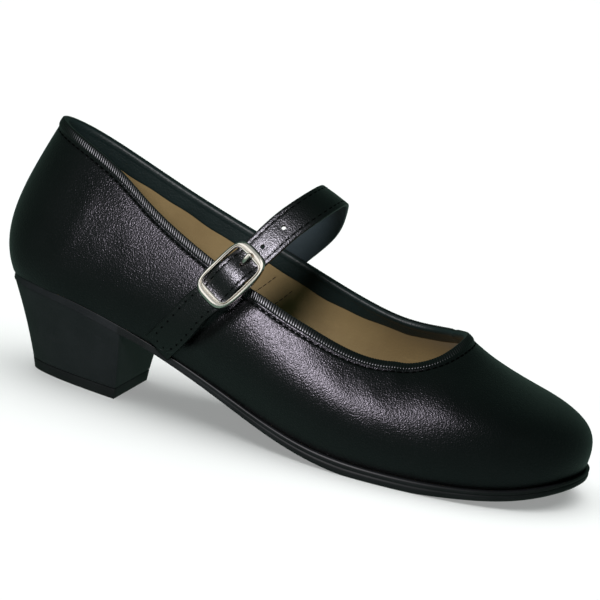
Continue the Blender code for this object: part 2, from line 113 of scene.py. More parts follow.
# Outer side from heel to toe, then the inner side back to the heel
STATIONS = (
    Station(4.5, 0.0, 14.0, 0.0, 101.5, 8.0, 18.0, 12.5, 29.0, -1.0),
    Station(10.5, -19.3, 21.2, -11.1, 99.8, 8.0, 16.5, 11.0, 28.0, -0.8),
    Station(34.0, -26.5, 42.2, -17.7, 91.8, 5.5, 15.0, 10.0, 26.0, 0.0),
    Station(64.0, -26.5, 63.2, -21.3, 79.3, 5.0, 13.0, 10.0, 24.0, 0.3),
    Station(100.0, -27.0, 92.0, -25.9, 65.7, 5.5, 13.0, 9.5, 21.0, 0.9),
    Station(135.0, -32.5, 120.9, -28.4, 54.7, 6.0, 13.0, 11.5, 17.5, 1.5),
    Station(164.5, -35.0, 149.5, -25.4, 44.0, 6.5, 13.0, 16.5, 12.0, 1.8),
    Station(199.5, -31.5, 171.1, -18.7, 42.8, 6.0, 15.0, 22.5, 10.5, 1.8),
    Station(228.0, -19.0, 182.7, -10.1, 47.8, 6.0, 20.0, 32.0, 14.5, 1.7),
    Station(240.5, 2.0, 187.0, 3.0, 53.0, 6.5, 26.5, 33.5, 23.5, 1.6),
    Station(235.5, 22.0, 183.5, 13.5, 52.0, 6.5, 25.5, 28.5, 21.5, 1.7),
    Station(212.5, 33.5, 172.5, 24.8, 48.8, 6.0, 20.0, 18.0, 15.0, 1.8),
    Station(177.0, 38.5, 152.0, 30.0, 48.0, 6.0, 16.0, 12.0, 12.5, 1.8),
    Station(140.0, 32.0, 123.0, 31.0, 55.8, 6.0, 15.0, 6.0, 18.0, 1.4),
    Station(100.0, 23.0, 93.0, 29.0, 66.5, 6.0, 16.0, 4.0, 22.0, 0.8),
    Station(64.0, 24.0, 62.5, 25.0, 78.0, 5.0, 14.0, 5.0, 24.0, 0.3),
    Station(36.0, 25.0, 39.0, 20.0, 88.5, 5.0, 16.0, 6.0, 26.0, 0.0),
    Station(12.0, 18.0, 20.5, 11.5, 97.5, 7.0, 17.0, 9.5, 27.0, -0.8),
)


@dataclass(frozen=True)
class Profile:
    """Side profile of the sole: place along the shoe, height of its upper face, thickness."""

    x: float
    top: float
    thick: float


PROFILE = (
    Profile(0.0, 40.5, 2.2),
    Profile(30.0, 38.0, 2.2),
    Profile(60.0, 31.5, 2.4),
    Profile(90.0, 22.0, 3.0),
    Profile(120.0, 12.0, 3.8),
    Profile(145.0, 6.3, 4.6),
    Profile(170.0, 4.7, 5.2),
    Profile(200.0, 5.4, 4.3),
    Profile(225.0, 8.6, 4.1),
    Profile(245.0, 14.2, 4.1),
)


@dataclass(frozen=True)
class ArchPoint:
    """A point of the strap's free arch, and how many degrees its width slopes down towards the toe."""

    x: float
    y: float
    z: float
    lean: float


# Outer to inner side
ARCH = (
    ArchPoint(110.4, -25.2, 75.2, 31.0),
    ArchPoint(115.7, -20.9, 83.0, 32.5),
    ArchPoint(123.2, -12.0, 91.7, 31.0),
    ArchPoint(125.8, 2.0, 94.5, 23.5),
    ArchPoint(122.9, 17.0, 88.6, 17.0),
    ArchPoint(118.3, 27.0, 77.6, 20.0),
)
# Bends at the buckle: distance along the strap from the centre bar, height over the quarter
STRAP_BENDS = ((-10.6, 3.15), (-8.6, 3.2), (-4.5, 4.4), (0.0, 5.5), (4.5, 4.7), (8.6, 3.2), (10.8, 3.0))
TAB_BENDS = ((-6.0, 1.65), (0.8, 1.75))
PRONG_BENDS = ((1.5, 2.6), (3.6, 2.7), (5.2, 3.6), (6.0, 5.0), (7.2, 6.5), (8.8, 7.4), (10.9, 7.6))


@dataclass(frozen=True)
class Crease:
    """A soft ridge or trough of the upper, between two places round and up the wall."""

    start: tuple[float, float]
    end: tuple[float, float]
    half_width: float
    height: float


CREASES = (
    Crease((0.072, 0.05), (0.078, 0.72), 5.0, 0.35),
    Crease((0.098, 0.10), (0.112, 0.60), 7.0, -0.25),
    Crease((0.248, 0.96), (0.186, 0.32), 3.8, -2.10),
    Crease((0.263, 1.00), (0.200, 0.36), 6.8, 0.55),
    Crease((0.300, 1.00), (0.375, 1.00), 9.0, 1.20),
    Crease((0.330, 0.86), (0.352, 0.30), 4.5, -0.12),
    Crease((0.352, 0.80), (0.372, 0.35), 4.0, 0.10),
    Crease((0.425, 0.50), (0.575, 0.50), 6.0, 0.25),
    Crease((0.560, 0.98), (0.572, 0.72), 2.6, -0.35),
    Crease((0.640, 0.85), (0.660, 0.35), 4.5, -0.30),
    Crease((0.928, 0.05), (0.922, 0.70), 5.0, 0.30),
)


def unit(vectors: Array) -> Array:
    """Return vectors scaled to length one."""
    return vectors / np.linalg.norm(vectors, axis=-1, keepdims=True)


def bell(away: Array, half_width: float) -> Array:
    """Return a soft bump that is 1 in the middle and dies away over its half width."""
    return np.exp(-((away / half_width) ** 2))


def run_lengths(points: Array) -> Array:
    """Return the distance along a row of points at each of them."""
    return np.concatenate([[0.0], np.cumsum(np.linalg.norm(np.diff(points, axis=0), axis=1))])


def placed(points: Array) -> Array:
    """Return drawn points in metres from the frame's origin."""
    return (points - np.array([*SHOE_MID, 0.0])) * MM


def pose(centre: Array, *axes: Array) -> Matrix:
    """Return the matrix that stands three axes at a drawn point."""
    matrix = Matrix(np.stack(axes, axis=1).tolist()).to_4x4()
    matrix.translation = Vector(placed(centre))
    return matrix


def direction(azimuth: float, elevation: float) -> Vector:
    """Return the direction at an angle from straight before the outer side, and an angle above level."""
    turn, rise = math.radians(azimuth), math.radians(elevation)
    return Vector((math.sin(turn) * math.cos(rise), -math.cos(turn) * math.cos(rise), math.sin(rise)))


class SmoothCurve:
    """A smooth curve through rows of values at rising knots, open or closed over a unit loop."""

    def __init__(self, knots: Sequence[float], values: Sequence, closed: bool = False) -> None:
        """Solve for the bending of the curve at each knot.

        Args:
            knots: Rising positions of the rows.
            values: One value or one row of values for each knot.
            closed: Whether the curve runs back into its start after one unit.
        """
        self.knots = np.array(knots, dtype=float)
        self.values = np.array(values, dtype=float).reshape(len(self.knots), -1)
        self.closed = closed
        count = len(self.knots)
        self.step = np.diff(np.append(self.knots, self.knots[0] + 1.0) if closed else self.knots)
        system = np.zeros((count, count))
        right = np.zeros_like(self.values)
        for row in range(count):
            if not closed and row in (0, count - 1):
                system[row, row] = 1.0
                continue
            before, after = self.step[row - 1], self.step[row]
            following = (row + 1) % count
            system[row, row - 1] += before
            system[row, row] += 2.0 * (before + after)
            system[row, following] += after
            rise = (self.values[following] - self.values[row]) / after
            fall = (self.values[row] - self.values[row - 1]) / before
            right[row] = 6.0 * (rise - fall)
        self.bend = np.linalg.solve(system, right)

    def at(self, samples: Array) -> Array:
        """Return the rows of values at an array of positions."""
        where = np.atleast_1d(np.array(samples, dtype=float))
        if self.closed:
            where = np.mod(where, 1.0)
        left = np.clip(np.searchsorted(self.knots, where, side="right") - 1, 0, len(self.step) - 1)
        right = (left + 1) % len(self.knots)
        width = self.step[left][:, None]
        ahead = (where - self.knots[left])[:, None]
        back = width - ahead
        curved = (self.bend[left] * back**3 + self.bend[right] * ahead**3) / (6.0 * width)
        start = (self.values[left] / width - self.bend[left] * width / 6.0) * back
        end = (self.values[right] / width - self.bend[right] * width / 6.0) * ahead
        return curved + start + end


class Last:
    """The shape that the shoe is lasted on: sole profile, feather edge, topline and wall."""

    GAP = 0.3
    GIRTH = 620.0
    WALL_HEIGHT = 58.0
    STEP_U = 0.001
    STEP_V = 0.004

    def __init__(self) -> None:
        """Read the tables of stations and of the sole's profile."""
        rows = np.array([astuple(station) for station in STATIONS])
        run = run_lengths(np.vstack([rows, rows[:1]])[:, :2])
        self.rows = SmoothCurve(run[:-1] / run[-1], rows, closed=True)
        profile = np.array([astuple(point) for point in PROFILE])
        self.profile = SmoothCurve(profile[:, 0], profile[:, 1:])
        self.topline_turns = np.linspace(0.0, 1.0, 2001)
        self.topline_run = run_lengths(self.rows.at(self.topline_turns)[:, 2:5])

    @property
    def topline_length(self) -> float:
        """Return the length of the topline in millimetres."""
        return float(self.topline_run[-1])

    def topline_u(self, share: Array) -> Array:
        """Return the place round the last at even shares of the topline's length."""
        return np.interp(share * self.topline_length, self.topline_run, self.topline_turns)

    def sole_top(self, x: Array) -> Array:
        """Return the height of the sole's upper face."""
        return self.profile.at(x)[:, 0]

    def sole_bottom(self, x: Array) -> Array:
        """Return the height of the sole's lower face, flat on the floor under the ball."""
        profile = self.profile.at(x)
        return np.maximum(profile[:, 0] - profile[:, 1], 0.0)

    def outward(self, u: Array) -> Array:
        """Return the level direction that points out of the feather edge."""
        step = 2.0 * self.STEP_U
        tangent = self.rows.at(u + step)[:, :2] - self.rows.at(u - step)[:, :2]
        return unit(np.stack([tangent[:, 1], -tangent[:, 0], np.zeros(len(tangent))], axis=1))

    def edge(self, u: Array, out: Array) -> Array:
        """Return the feather edge in plan, moved outwards by a distance."""
        return self.rows.at(u)[:, :2] + self.outward(u)[:, :2] * np.asarray(out).reshape(-1, 1)

    def surface(self, u: Array, v: Array) -> Array:
        """Return the outer face of the wall from the feather edge (v = 0) to the topline (v = 1).

        Args:
            u: Places round the last.
            v: Places up the wall.

        Returns:
            Drawn points, one row each.
        """
        u, v = np.broadcast_arrays(np.atleast_1d(u), np.atleast_1d(v))
        v = v[:, None]
        row = self.rows.at(u)
        out = self.outward(u)
        up = np.array([0.0, 0.0, 1.0])
        foot = np.column_stack([row[:, 0], row[:, 1], self.sole_top(row[:, 0]) + self.GAP])
        top = row[:, 2:5]
        low = foot + out * row[:, 5:6] + up * row[:, 6:7]
        high = top + out * row[:, 7:8] - up * row[:, 8:9]
        return (1 - v) ** 3 * foot + 3 * (1 - v) ** 2 * v * low + 3 * (1 - v) * v**2 * high + v**3 * top

    def slopes(self, u: Array, v: Array) -> tuple[Array, Array]:
        """Return how the wall runs on for one unit round the last and one unit up the wall."""
        around = self.surface(u + self.STEP_U, v) - self.surface(u - self.STEP_U, v)
        rising = self.surface(u, v + self.STEP_V) - self.surface(u, v - self.STEP_V)
        return around / (2.0 * self.STEP_U), rising / (2.0 * self.STEP_V)

    def normal(self, u: Array, v: Array) -> Array:
        """Return the direction out of the wall."""
        return unit(np.cross(*self.slopes(u, v)))

    def lifted(self, u: Array, v: Array, height: Array) -> Array:
        """Return points at a height over the outer face of the wall."""
        u, v, height = np.broadcast_arrays(*(np.atleast_1d(part) for part in (u, v, height)))
        return self.surface(u, v) + self.normal(u, v) * height[:, None]

    def below_topline(self, u: Array, down: Array) -> Array:
        """Return the places up the wall that lie a distance below the topline."""
        row = self.rows.at(u)
        return 1.0 - down / (3.0 * np.hypot(row[:, 7], row[:, 8]))

    def sole_plan(self, s: Array, t: Array, inset: Callable[[Array], Array]) -> Array:
        """Return points in plan of a sole-shaped sheet.

        Args:
            s: Places from the heel's back (0) to the toe (1).
            t: Places across, outer side (0) to inner side (1).
            inset: Distance in from the feather edge at a place round the last.

        Returns:
            Points in plan, one row each.
        """
        outer, inner = (self.edge(u, -inset(u)) for u in (0.5 * s, 1.0 - 0.5 * s))
        ends = (s <= 0.0) | (s >= 1.0)
        share = np.where(ends, 0.0, t)[:, None]
        return outer * (1.0 - share) + inner * share

    def crease(self, u: Array, v: Array) -> Array:
        """Return the height of the leather's own ridges and troughs."""
        scale = np.array([self.GIRTH, self.WALL_HEIGHT])
        where = np.column_stack([u, v]) * scale
        height = np.zeros(len(where))
        for crease in CREASES:
            start = np.array(crease.start) * scale
            run = np.array(crease.end) * scale - start
            share = np.clip(((where - start) @ run) / (run @ run), 0.0, 1.0)
            away = np.linalg.norm(where - start - share[:, None] * run, axis=1)
            height += crease.height * bell(away, crease.half_width)
        return height


class Ribbon:
    """A band of leather along a smooth path, with its width direction at each station."""

    STEP = 0.2

    def __init__(self, stations: Sequence[tuple[Array, Array]]) -> None:
        """Run smooth curves through pairs of centre and width direction."""
        centres, widths = (np.array(rows) for rows in zip(*stations))
        knots = run_lengths(centres)
        self.centres = SmoothCurve(knots, centres)
        self.widths = SmoothCurve(knots, widths)
        self.length = float(knots[-1])

    def frames(self, distance: Array) -> tuple[Array, Array, Array]:
        """Return centres, width directions and outward directions at distances along the path."""
        distance = np.atleast_1d(distance)
        tangent = unit(self.centres.at(distance + self.STEP) - self.centres.at(distance - self.STEP))
        width = self.widths.at(distance)
        width = unit(width - tangent * np.sum(width * tangent, axis=1, keepdims=True))
        return self.centres.at(distance), width, np.cross(width, tangent)

    def points(self, distance: Array, side: Array, height: Array) -> Array:
        """Return drawn points from a distance along, a distance to the side and a height."""
        parts = (np.atleast_1d(part) for part in (distance, side, height))
        distance, side, height = np.broadcast_arrays(*parts)
        centre, width, out = self.frames(distance)
        return centre + width * side[:, None] + out * height[:, None]

    def nearest(self, point: Array) -> float:
        """Return the distance along the path that lies nearest to a point."""
        tries = np.linspace(0.0, self.length, 600)
        return float(tries[np.linalg.norm(self.centres.at(tries) - point, axis=1).argmin()])


class GridSheet:
    """A bmesh grid whose vertices remember their place from 0 to 1 along and across."""

    MERGE = 1e-6

    def __init__(self, columns: int, rows: int) -> None:
        """Make a flat grid with so many faces along and across."""
        self.bm = bmesh.new()
        bmesh.ops.create_grid(self.bm, x_segments=columns, y_segments=rows, size=0.5)
        self.along = self.bm.verts.layers.float.new("along")
        self.across = self.bm.verts.layers.float.new("across")
        for vert in self.bm.verts:
            vert[self.along] = vert.co.x + 0.5
            vert[self.across] = vert.co.y + 0.5

    def place(self, shape: Shape, verts: Sequence[bmesh.types.BMVert] | None = None) -> None:
        """Move vertices to where a shape puts them.

        Args:
            shape: Gives drawn points for arrays of places along and across.
            verts: The vertices to move, or all of them.
        """
        verts = list(self.bm.verts) if verts is None else verts
        along, across = (np.array([vert[layer] for vert in verts]) for layer in (self.along, self.across))
        for vert, point in zip(verts, placed(shape(along, across))):
            vert.co = point

    def push(
        self, faces: Sequence[bmesh.types.BMFace], shape: Shape, keep: bool
    ) -> list[bmesh.types.BMFace]:
        """Extrude faces and move what they become to a new shape.

        Args:
            faces: The faces to extrude.
            shape: Gives drawn points for arrays of places along and across.
            keep: Whether the extruded faces also stay where they were, as the other wall.

        Returns:
            The moved faces.
        """
        made = bmesh.ops.extrude_face_region(self.bm, geom=list(faces))["geom"]
        if not keep:
            left = [face for face in faces if face.is_valid]
            bmesh.ops.delete(self.bm, geom=left, context="FACES")
        self.place(shape, [part for part in made if isinstance(part, bmesh.types.BMVert)])
        return [part for part in made if isinstance(part, bmesh.types.BMFace)]

    def merge(self) -> None:
        """Merge the vertices that meet."""
        bmesh.ops.remove_doubles(self.bm, verts=list(self.bm.verts), dist=self.MERGE)

    def close(self) -> BMesh:
        """Merge what meets, fill open ends, turn every face outwards and return the bmesh."""
        self.merge()
        bmesh.ops.holes_fill(self.bm, edges=[edge for edge in self.bm.edges if edge.is_boundary], sides=0)
        bmesh.ops.recalc_face_normals(self.bm, faces=list(self.bm.faces))
        return self.bm


def slab(columns: int, rows: int, shapes: Sequence[Shape]) -> BMesh:
    """Return a closed solid from a grid that is pushed through a list of shapes."""
    sheet = GridSheet(columns, rows)
    sheet.place(shapes[0])
    faces = list(sheet.bm.faces)
    for number, shape in enumerate(shapes[1:]):
        faces = sheet.push(faces, shape, keep=number == 0)
    return sheet.close()


def tube(columns: int, rows: int, shape: Shape, second: int | None = None) -> BMesh:
    """Return a closed tube from a grid that is rolled up across.

    Args:
        columns: Faces along it.
        rows: Faces once round it.
        shape: Gives drawn points for arrays of places along and of row numbers round it.
        second: First row of the second finish, if it has two.

    Returns:
        The tube's bmesh.
    """
    sheet = GridSheet(columns, rows)
    sheet.place(lambda along, across: shape(along, np.rint(across * rows).astype(int) % rows))
    for face in sheet.bm.faces:
        lowest = min(round(vert[sheet.across] * rows) for vert in face.verts)
        face.material_index = int(second is not None and lowest >= second)
    return sheet.close()


def rod(bm: BMesh, matrix: Matrix, radius: float, length: float, sides: int) -> None:
    """Add a round rod to a bmesh, with its length along the third axis of a matrix."""
    size = {"radius1": radius * MM, "radius2": radius * MM, "depth": length * MM}
    bmesh.ops.create_cone(bm, cap_ends=True, segments=sides, matrix=matrix, **size)


def soften_edges(bm: BMesh, angle: float, offset: float, segments: int) -> None:
    """Round the edges of a solid that are sharper than an angle.

    Args:
        bm: The solid.
        angle: Least angle between the faces, in degrees.
        offset: Width of the rounding in millimetres.
        segments: Faces across the rounding.
    """
    sharp = [edge for edge in bm.edges if edge.calc_face_angle(0.0) > math.radians(angle)]
    how = {"offset_type": "OFFSET", "profile": 0.5, "affect": "EDGES", "material": -1, "clamp_overlap": True}
    bmesh.ops.bevel(bm, geom=sharp, offset=offset * MM, segments=segments, **how)


@dataclass(frozen=True)
class StitchRow:
    """A row of stitches: spacing, length and thickness in millimetres."""

    pitch: float
    length: float
    thickness: float

    def sew(self, bm: BMesh, path: Array, outs: Array) -> None:
        """Lay stitches along a path.

        Args:
            bm: The bmesh that takes the stitches.
            path: Drawn points along the row.
            outs: Outward direction at each point.
        """
        run = run_lengths(path)

        def reached(rows: Array, where: float) -> Array:
            """Return the row of values at a distance along the path."""
            return np.array([np.interp(where, run, column) for column in rows.T])

        count = max(1, int(run[-1] / self.pitch))
        half = 0.5 * self.length
        for middle in (np.arange(count) + 0.5) * run[-1] / count:
            ahead = unit(reached(path, middle + half) - reached(path, middle - half))
            out = reached(outs, middle)
            out = unit(out - ahead * (out @ ahead))
            axes = (np.cross(out, ahead) * self.thickness, out * self.thickness, ahead * self.length)
            matrix = pose(reached(path, middle), *(axis * 0.5 * MM for axis in axes))
            bmesh.ops.create_uvsphere(bm, u_segments=6, v_segments=6, radius=1.0, matrix=matrix)


class Wiring:
    """Adds nodes to a node tree and links them."""

    def __init__(self, tree: bpy.types.NodeTree) -> None:
        """Take the tree that the nodes go into."""
        self.tree = tree

    def fill(self, node: bpy.types.Node, inputs: Inputs) -> None:
        """Give named or numbered inputs of a node a constant, or a socket to link."""
        for name, value in inputs.items():
            if isinstance(value, Socket):
                self.tree.links.new(value, node.inputs[name])
            else:
                node.inputs[name].default_value = value

    def node(self, kind: str, inputs: Inputs, **settings: object) -> bpy.types.Node:
        """Add a node.

        Args:
            kind: Blender's name of the node type.
            inputs: A constant, or a socket to link, for each named or numbered input.
            settings: Properties of the node.

        Returns:
            The new node.
        """
        node = self.tree.nodes.new(kind)
        for name, value in settings.items():
            setattr(node, name, value)
        self.fill(node, inputs)
        return node

    def math(self, operation: str, first: Source, second: Source = 0.0, clamp: bool = False) -> Socket:
        """Return the result of a sum on one or two values."""
        inputs = {0: first, 1: second}
        return self.node("ShaderNodeMath", inputs, operation=operation, use_clamp=clamp).outputs[0]

    def vectors(self, operation: str, inputs: Inputs) -> Socket:
        """Return the result of a sum on vectors."""
        return self.node("ShaderNodeVectorMath", inputs, operation=operation).outputs[0]

    def remap(
        self, value: Source, low: float, high: float, to_low: float = 0.0, to_high: float = 1.0
    ) -> Socket:
        """Return a value moved smoothly from one range to another."""
        names = ("Value", "From Min", "From Max", "To Min", "To Max")
        inputs = dict(zip(names, (value, low, high, to_low, to_high)))
        return self.node("ShaderNodeMapRange", inputs, interpolation_type="SMOOTHSTEP").outputs["Result"]

    def blend(self, factor: Source, first: Source, second: Source) -> Socket:
        """Return a colour between two colours."""
        return self.node("ShaderNodeMix", {0: factor, 6: first, 7: second}, data_type="RGBA").outputs[2]

    def noise(self, vector: Source, scale: Source, detail: float, roughness: float) -> Socket:
        """Return a soft random value over the surface."""
        inputs = {"Vector": vector, "Scale": scale, "Detail": detail, "Roughness": roughness}
        return self.node("ShaderNodeTexNoise", inputs).outputs[0]

    def group(self, tree: bpy.types.NodeTree, inputs: Inputs) -> bpy.types.NodeOutputs:
        """Place a node group with its own values and return its outputs."""
        return self.node("ShaderNodeGroup", inputs, node_tree=tree).outputs


class Effects:
    """Shader node groups that more than one finish uses."""

    def __init__(self) -> None:
        """Build each group once."""
        self.grain = self._grain()
        self.scuff = self._scuff()

    @staticmethod
    def _start(
        name: str, values: Sequence[str], outputs: Sequence[str]
    ) -> tuple[Wiring, bpy.types.NodeOutputs]:
        """Begin a group that takes a vector and some values.

        Args:
            name: Name of the group.
            values: Names of the values that it takes.
            outputs: Names of the values that it puts out.

        Returns:
            The wiring, and what the group is given.
        """
        tree = bpy.data.node_groups.new(name, "ShaderNodeTree")
        tree.interface.new_socket("Vector", in_out="INPUT", socket_type="NodeSocketVector")
        for way, labels in (("INPUT", values), ("OUTPUT", outputs)):
            for label in labels:
                tree.interface.new_socket(label, in_out=way, socket_type="NodeSocketFloat")
        wiring = Wiring(tree)
        return wiring, wiring.node("NodeGroupInput", {}).outputs

    def _grain(self) -> bpy.types.NodeTree:
        """Return the pebbled grain of leather: its height and a slow cloud of tone."""
        wiring, given = self._start("leather_grain", ("Cells", "Wander"), ("Height", "Cloud"))
        vector, cells = given["Vector"], given["Cells"]
        drift = wiring.node("ShaderNodeTexNoise", {"Vector": vector, "Scale": cells, "Detail": 1.0})
        centred = wiring.vectors("SUBTRACT", {0: drift.outputs["Color"], 1: (0.5, 0.5, 0.5)})
        pull = wiring.vectors("SCALE", {0: centred, "Scale": given["Wander"]})
        moved = wiring.vectors("ADD", {0: vector, 1: pull})
        inputs = {"Vector": moved, "Scale": cells, "Smoothness": 0.35}
        pebble = wiring.node("ShaderNodeTexVoronoi", inputs, feature="SMOOTH_F1").outputs["Distance"]
        dome = wiring.math("MULTIPLY", wiring.remap(pebble, 0.1, 0.75, 1.0, 0.0), 0.3)
        fine = wiring.noise(vector, wiring.math("MULTIPLY", cells, 1.2), 2.0, 0.6)
        height = wiring.math("ADD", dome, wiring.math("MULTIPLY", fine, 0.9))
        cloud = wiring.noise(vector, 45.0, 3.0, 0.55)
        wiring.node("NodeGroupOutput", {"Height": height, "Cloud": cloud})
        return wiring.tree

    def _scuff(self) -> bpy.types.NodeTree:
        """Return the marks of handling: fine scratches and dull patches."""
        wiring, given = self._start("handling_marks", ("Amount",), ("Scratch", "Dull"))
        vector, amount = given["Vector"], given["Amount"]
        stretched = wiring.node("ShaderNodeMapping", {"Vector": vector, "Scale": (120.0, 900.0, 420.0)})
        lines = wiring.noise(stretched.outputs[0], 1.0, 4.0, 0.65)
        scratch = wiring.math("MULTIPLY", wiring.remap(lines, 0.60, 0.72), amount)
        dull = wiring.math("MULTIPLY", wiring.noise(vector, 70.0, 4.0, 0.6), amount)
        wiring.node("NodeGroupOutput", {"Scratch": scratch, "Dull": dull})
        return wiring.tree


@dataclass(frozen=True)
class Finish:
    """A surface: two tones, gloss and grain. Grain sizes are in millimetres."""

    name: str
    deep: Colour
    light: Colour
    roughness: float
    specular: float
    grain_size: float
    grain_depth: float
    marks: float = 0.3
    rough_spread: float = 0.08
    specular_tint: Colour = (1.0, 1.0, 1.0)
    metallic: float = 0.0
    sheen: float = 0.0

    def material(self, effects: Effects) -> bpy.types.Material:
        """Return the material of this finish.

        Args:
            effects: The shared shader groups.

        Returns:
            A material that reads Object coordinates.
        """
        surface = bpy.data.materials.new(self.name)
        surface.use_nodes = True
        wiring = Wiring(surface.node_tree)
        vector = wiring.node("ShaderNodeTexCoord", {}).outputs["Object"]
        cells = 1.0 / MM / self.grain_size
        grain = wiring.group(effects.grain, {"Vector": vector, "Cells": cells, "Wander": 0.35 / cells})
        marks = wiring.group(effects.scuff, {"Vector": vector, "Amount": self.marks})
        base = wiring.blend(wiring.remap(grain["Cloud"], 0.3, 0.7), (*self.deep, 1.0), (*self.light, 1.0))
        worn = wiring.math("MULTIPLY", marks["Scratch"], 0.35)
        spread = wiring.math("MULTIPLY", wiring.math("SUBTRACT", grain["Cloud"], 0.5), self.rough_spread)
        dulled = wiring.math("ADD", spread, wiring.math("MULTIPLY", marks["Dull"], 0.1))
        bump = wiring.node("ShaderNodeBump", {"Distance": self.grain_depth * MM, "Height": grain["Height"]})
        inputs = {
            "Base Color": wiring.blend(worn, base, (*(2.0 * part for part in self.light), 1.0)),
            "Roughness": wiring.math("ADD", dulled, self.roughness, clamp=True),
            "Normal": bump.outputs["Normal"],
            "Metallic": self.metallic,
            "Specular IOR Level": self.specular,
            "Specular Tint": (*self.specular_tint, 1.0),
            "Sheen Weight": self.sheen,
        }
        wiring.fill(surface.node_tree.nodes["Principled BSDF"], inputs)
        return surface


BLACK = ((0.0008, 0.0012, 0.0009), (0.0014, 0.002, 0.0016))
UPPER_LEATHER = Finish(
    "black_grain_leather", *BLACK, 0.3, 0.5, 0.66, 0.16, marks=0.25, specular_tint=(0.93, 0.88, 1.0)
)
STRAP_LEATHER = Finish(
    "strap_grain_leather", *BLACK, 0.28, 0.55, 0.6, 0.115, marks=0.25, specular_tint=(0.93, 0.92, 1.0)
)
BINDING_TAPE = Finish("ribbed_binding", *BLACK, 0.32, 0.6, 0.5, 0.02, specular_tint=(0.94, 0.95, 1.0))
# The strap's underside has its own finish. Its lighter blue-grey tone is painted light, standing in for the
# light that the underside catches from below.
STRAP_UNDERSIDE_PAINTED_LIGHT = Finish("strap_backing", (0.020, 0.031, 0.036), (0.026, 0.039, 0.045), 0.5, 0.4, 0.9, 0.05)
# The facing is dark leather. Its lifted green-grey tone is painted light, standing in for the sheen and
# light that the inside of the collar catches.
FACING_LEATHER_PAINTED_LIGHT = Finish(
    "facing_leather", (0.0045, 0.011, 0.0105), (0.0075, 0.016, 0.0155), 0.46, 0.4, 0.9, 0.12
)
TAN_LINING = Finish(
    "tan_lining", (0.21, 0.148, 0.063), (0.25, 0.18, 0.078), 0.62, 0.25, 1.1, 0.05, marks=0.2, sheen=0.08
)
# The sock is a lighter tan than the lining. Its tone is raised further as painted light, standing in for
# lamp light that does not reach the footbed.
TAN_SOCK_PAINTED_LIGHT = Finish("tan_sock", (0.42, 0.29, 0.122), (0.49, 0.348, 0.153), 0.58, 0.25, 1.2, 0.05)
SOLE_SHEET = Finish(
    "sole_sheet", (0.004, 0.0045, 0.005), (0.008, 0.009, 0.010), 0.42, 0.3, 0.4, 0.012, 0.6, rough_spread=0.1
)
HEEL_COVER = Finish(
    "heel_cover", (0.006, 0.007, 0.0085), (0.010, 0.0115, 0.0135), 0.5, 0.3, 0.7, 0.05, marks=0.5
)
LIFT_RUBBER = Finish(
    "lift_rubber", (0.005, 0.0055, 0.006), (0.009, 0.010, 0.011), 0.55, 0.25, 0.45, 0.04, marks=0.8
)
BLACK_THREAD = Finish(
    "black_thread", (0.0004, 0.0005, 0.0005), (0.0008, 0.0009, 0.001), 0.75, 0.02, 0.3, 0.05
)
BROWN_THREAD = Finish("brown_thread", (0.028, 0.017, 0.009), (0.05, 0.032, 0.017), 0.6, 0.2, 0.3, 0.05)
NICKEL_PLATE = Finish(
    "nickel_plate", (0.78, 0.715, 0.66), (0.86, 0.79, 0.73), 0.18, 0.5, 1.5, 0.004, 0.35, 0.06, metallic=1.0
)


class Workshop:
    """Turns bmeshes into finished pieces that ride on the frame."""

    SMOOTH_ANGLE = 38.0

    def __init__(self, shoe: Collection, metal: Collection) -> None:
        """Start with the shared effects and no materials.

        Args:
            shoe: The collection that takes the finished pieces of leather, thread and rubber.
            metal: The collection that takes those of bright metal.
        """
        self.shoe = shoe
        self.metal = metal
        self.effects = Effects()
        self.materials: dict[str, bpy.types.Material] = {}

    def surface(self, finish: Finish) -> bpy.types.Material:
        """Return the material of a finish, made once."""
        if finish.name not in self.materials:
            self.materials[finish.name] = finish.material(self.effects)
        return self.materials[finish.name]

    def publish(
        self, name: str, bm: BMesh, finishes: Sequence[Finish], replaced: Sequence[str] = ()
    ) -> bpy.types.Object:
        """Make a finished piece from a bmesh.

        Args:
            name: Name of the piece.
            bm: Its shape in metres, which is freed.
            finishes: Its finishes, in the order of its material numbers.
            replaced: The frame's nodes that it stands for.

        Returns:
            The new object, riding on the frame.
        """
        mesh = bpy.data.meshes.new(name)
        bm.to_mesh(mesh)
        bm.free()
        for finish in finishes:
            mesh.materials.append(self.surface(finish))
        mesh.shade_smooth()
        mesh.set_sharp_from_angle(angle=math.radians(self.SMOOTH_ANGLE))
        piece = bpy.data.objects.new(name, mesh)
        group = self.metal if finishes[0].metallic > 0.5 else self.shoe
        group.objects.link(piece)
        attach(piece, BODY)
        if replaced:
            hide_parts(*replaced)
        LOG.info("%s: %d faces", name, len(mesh.polygons))
        return piece


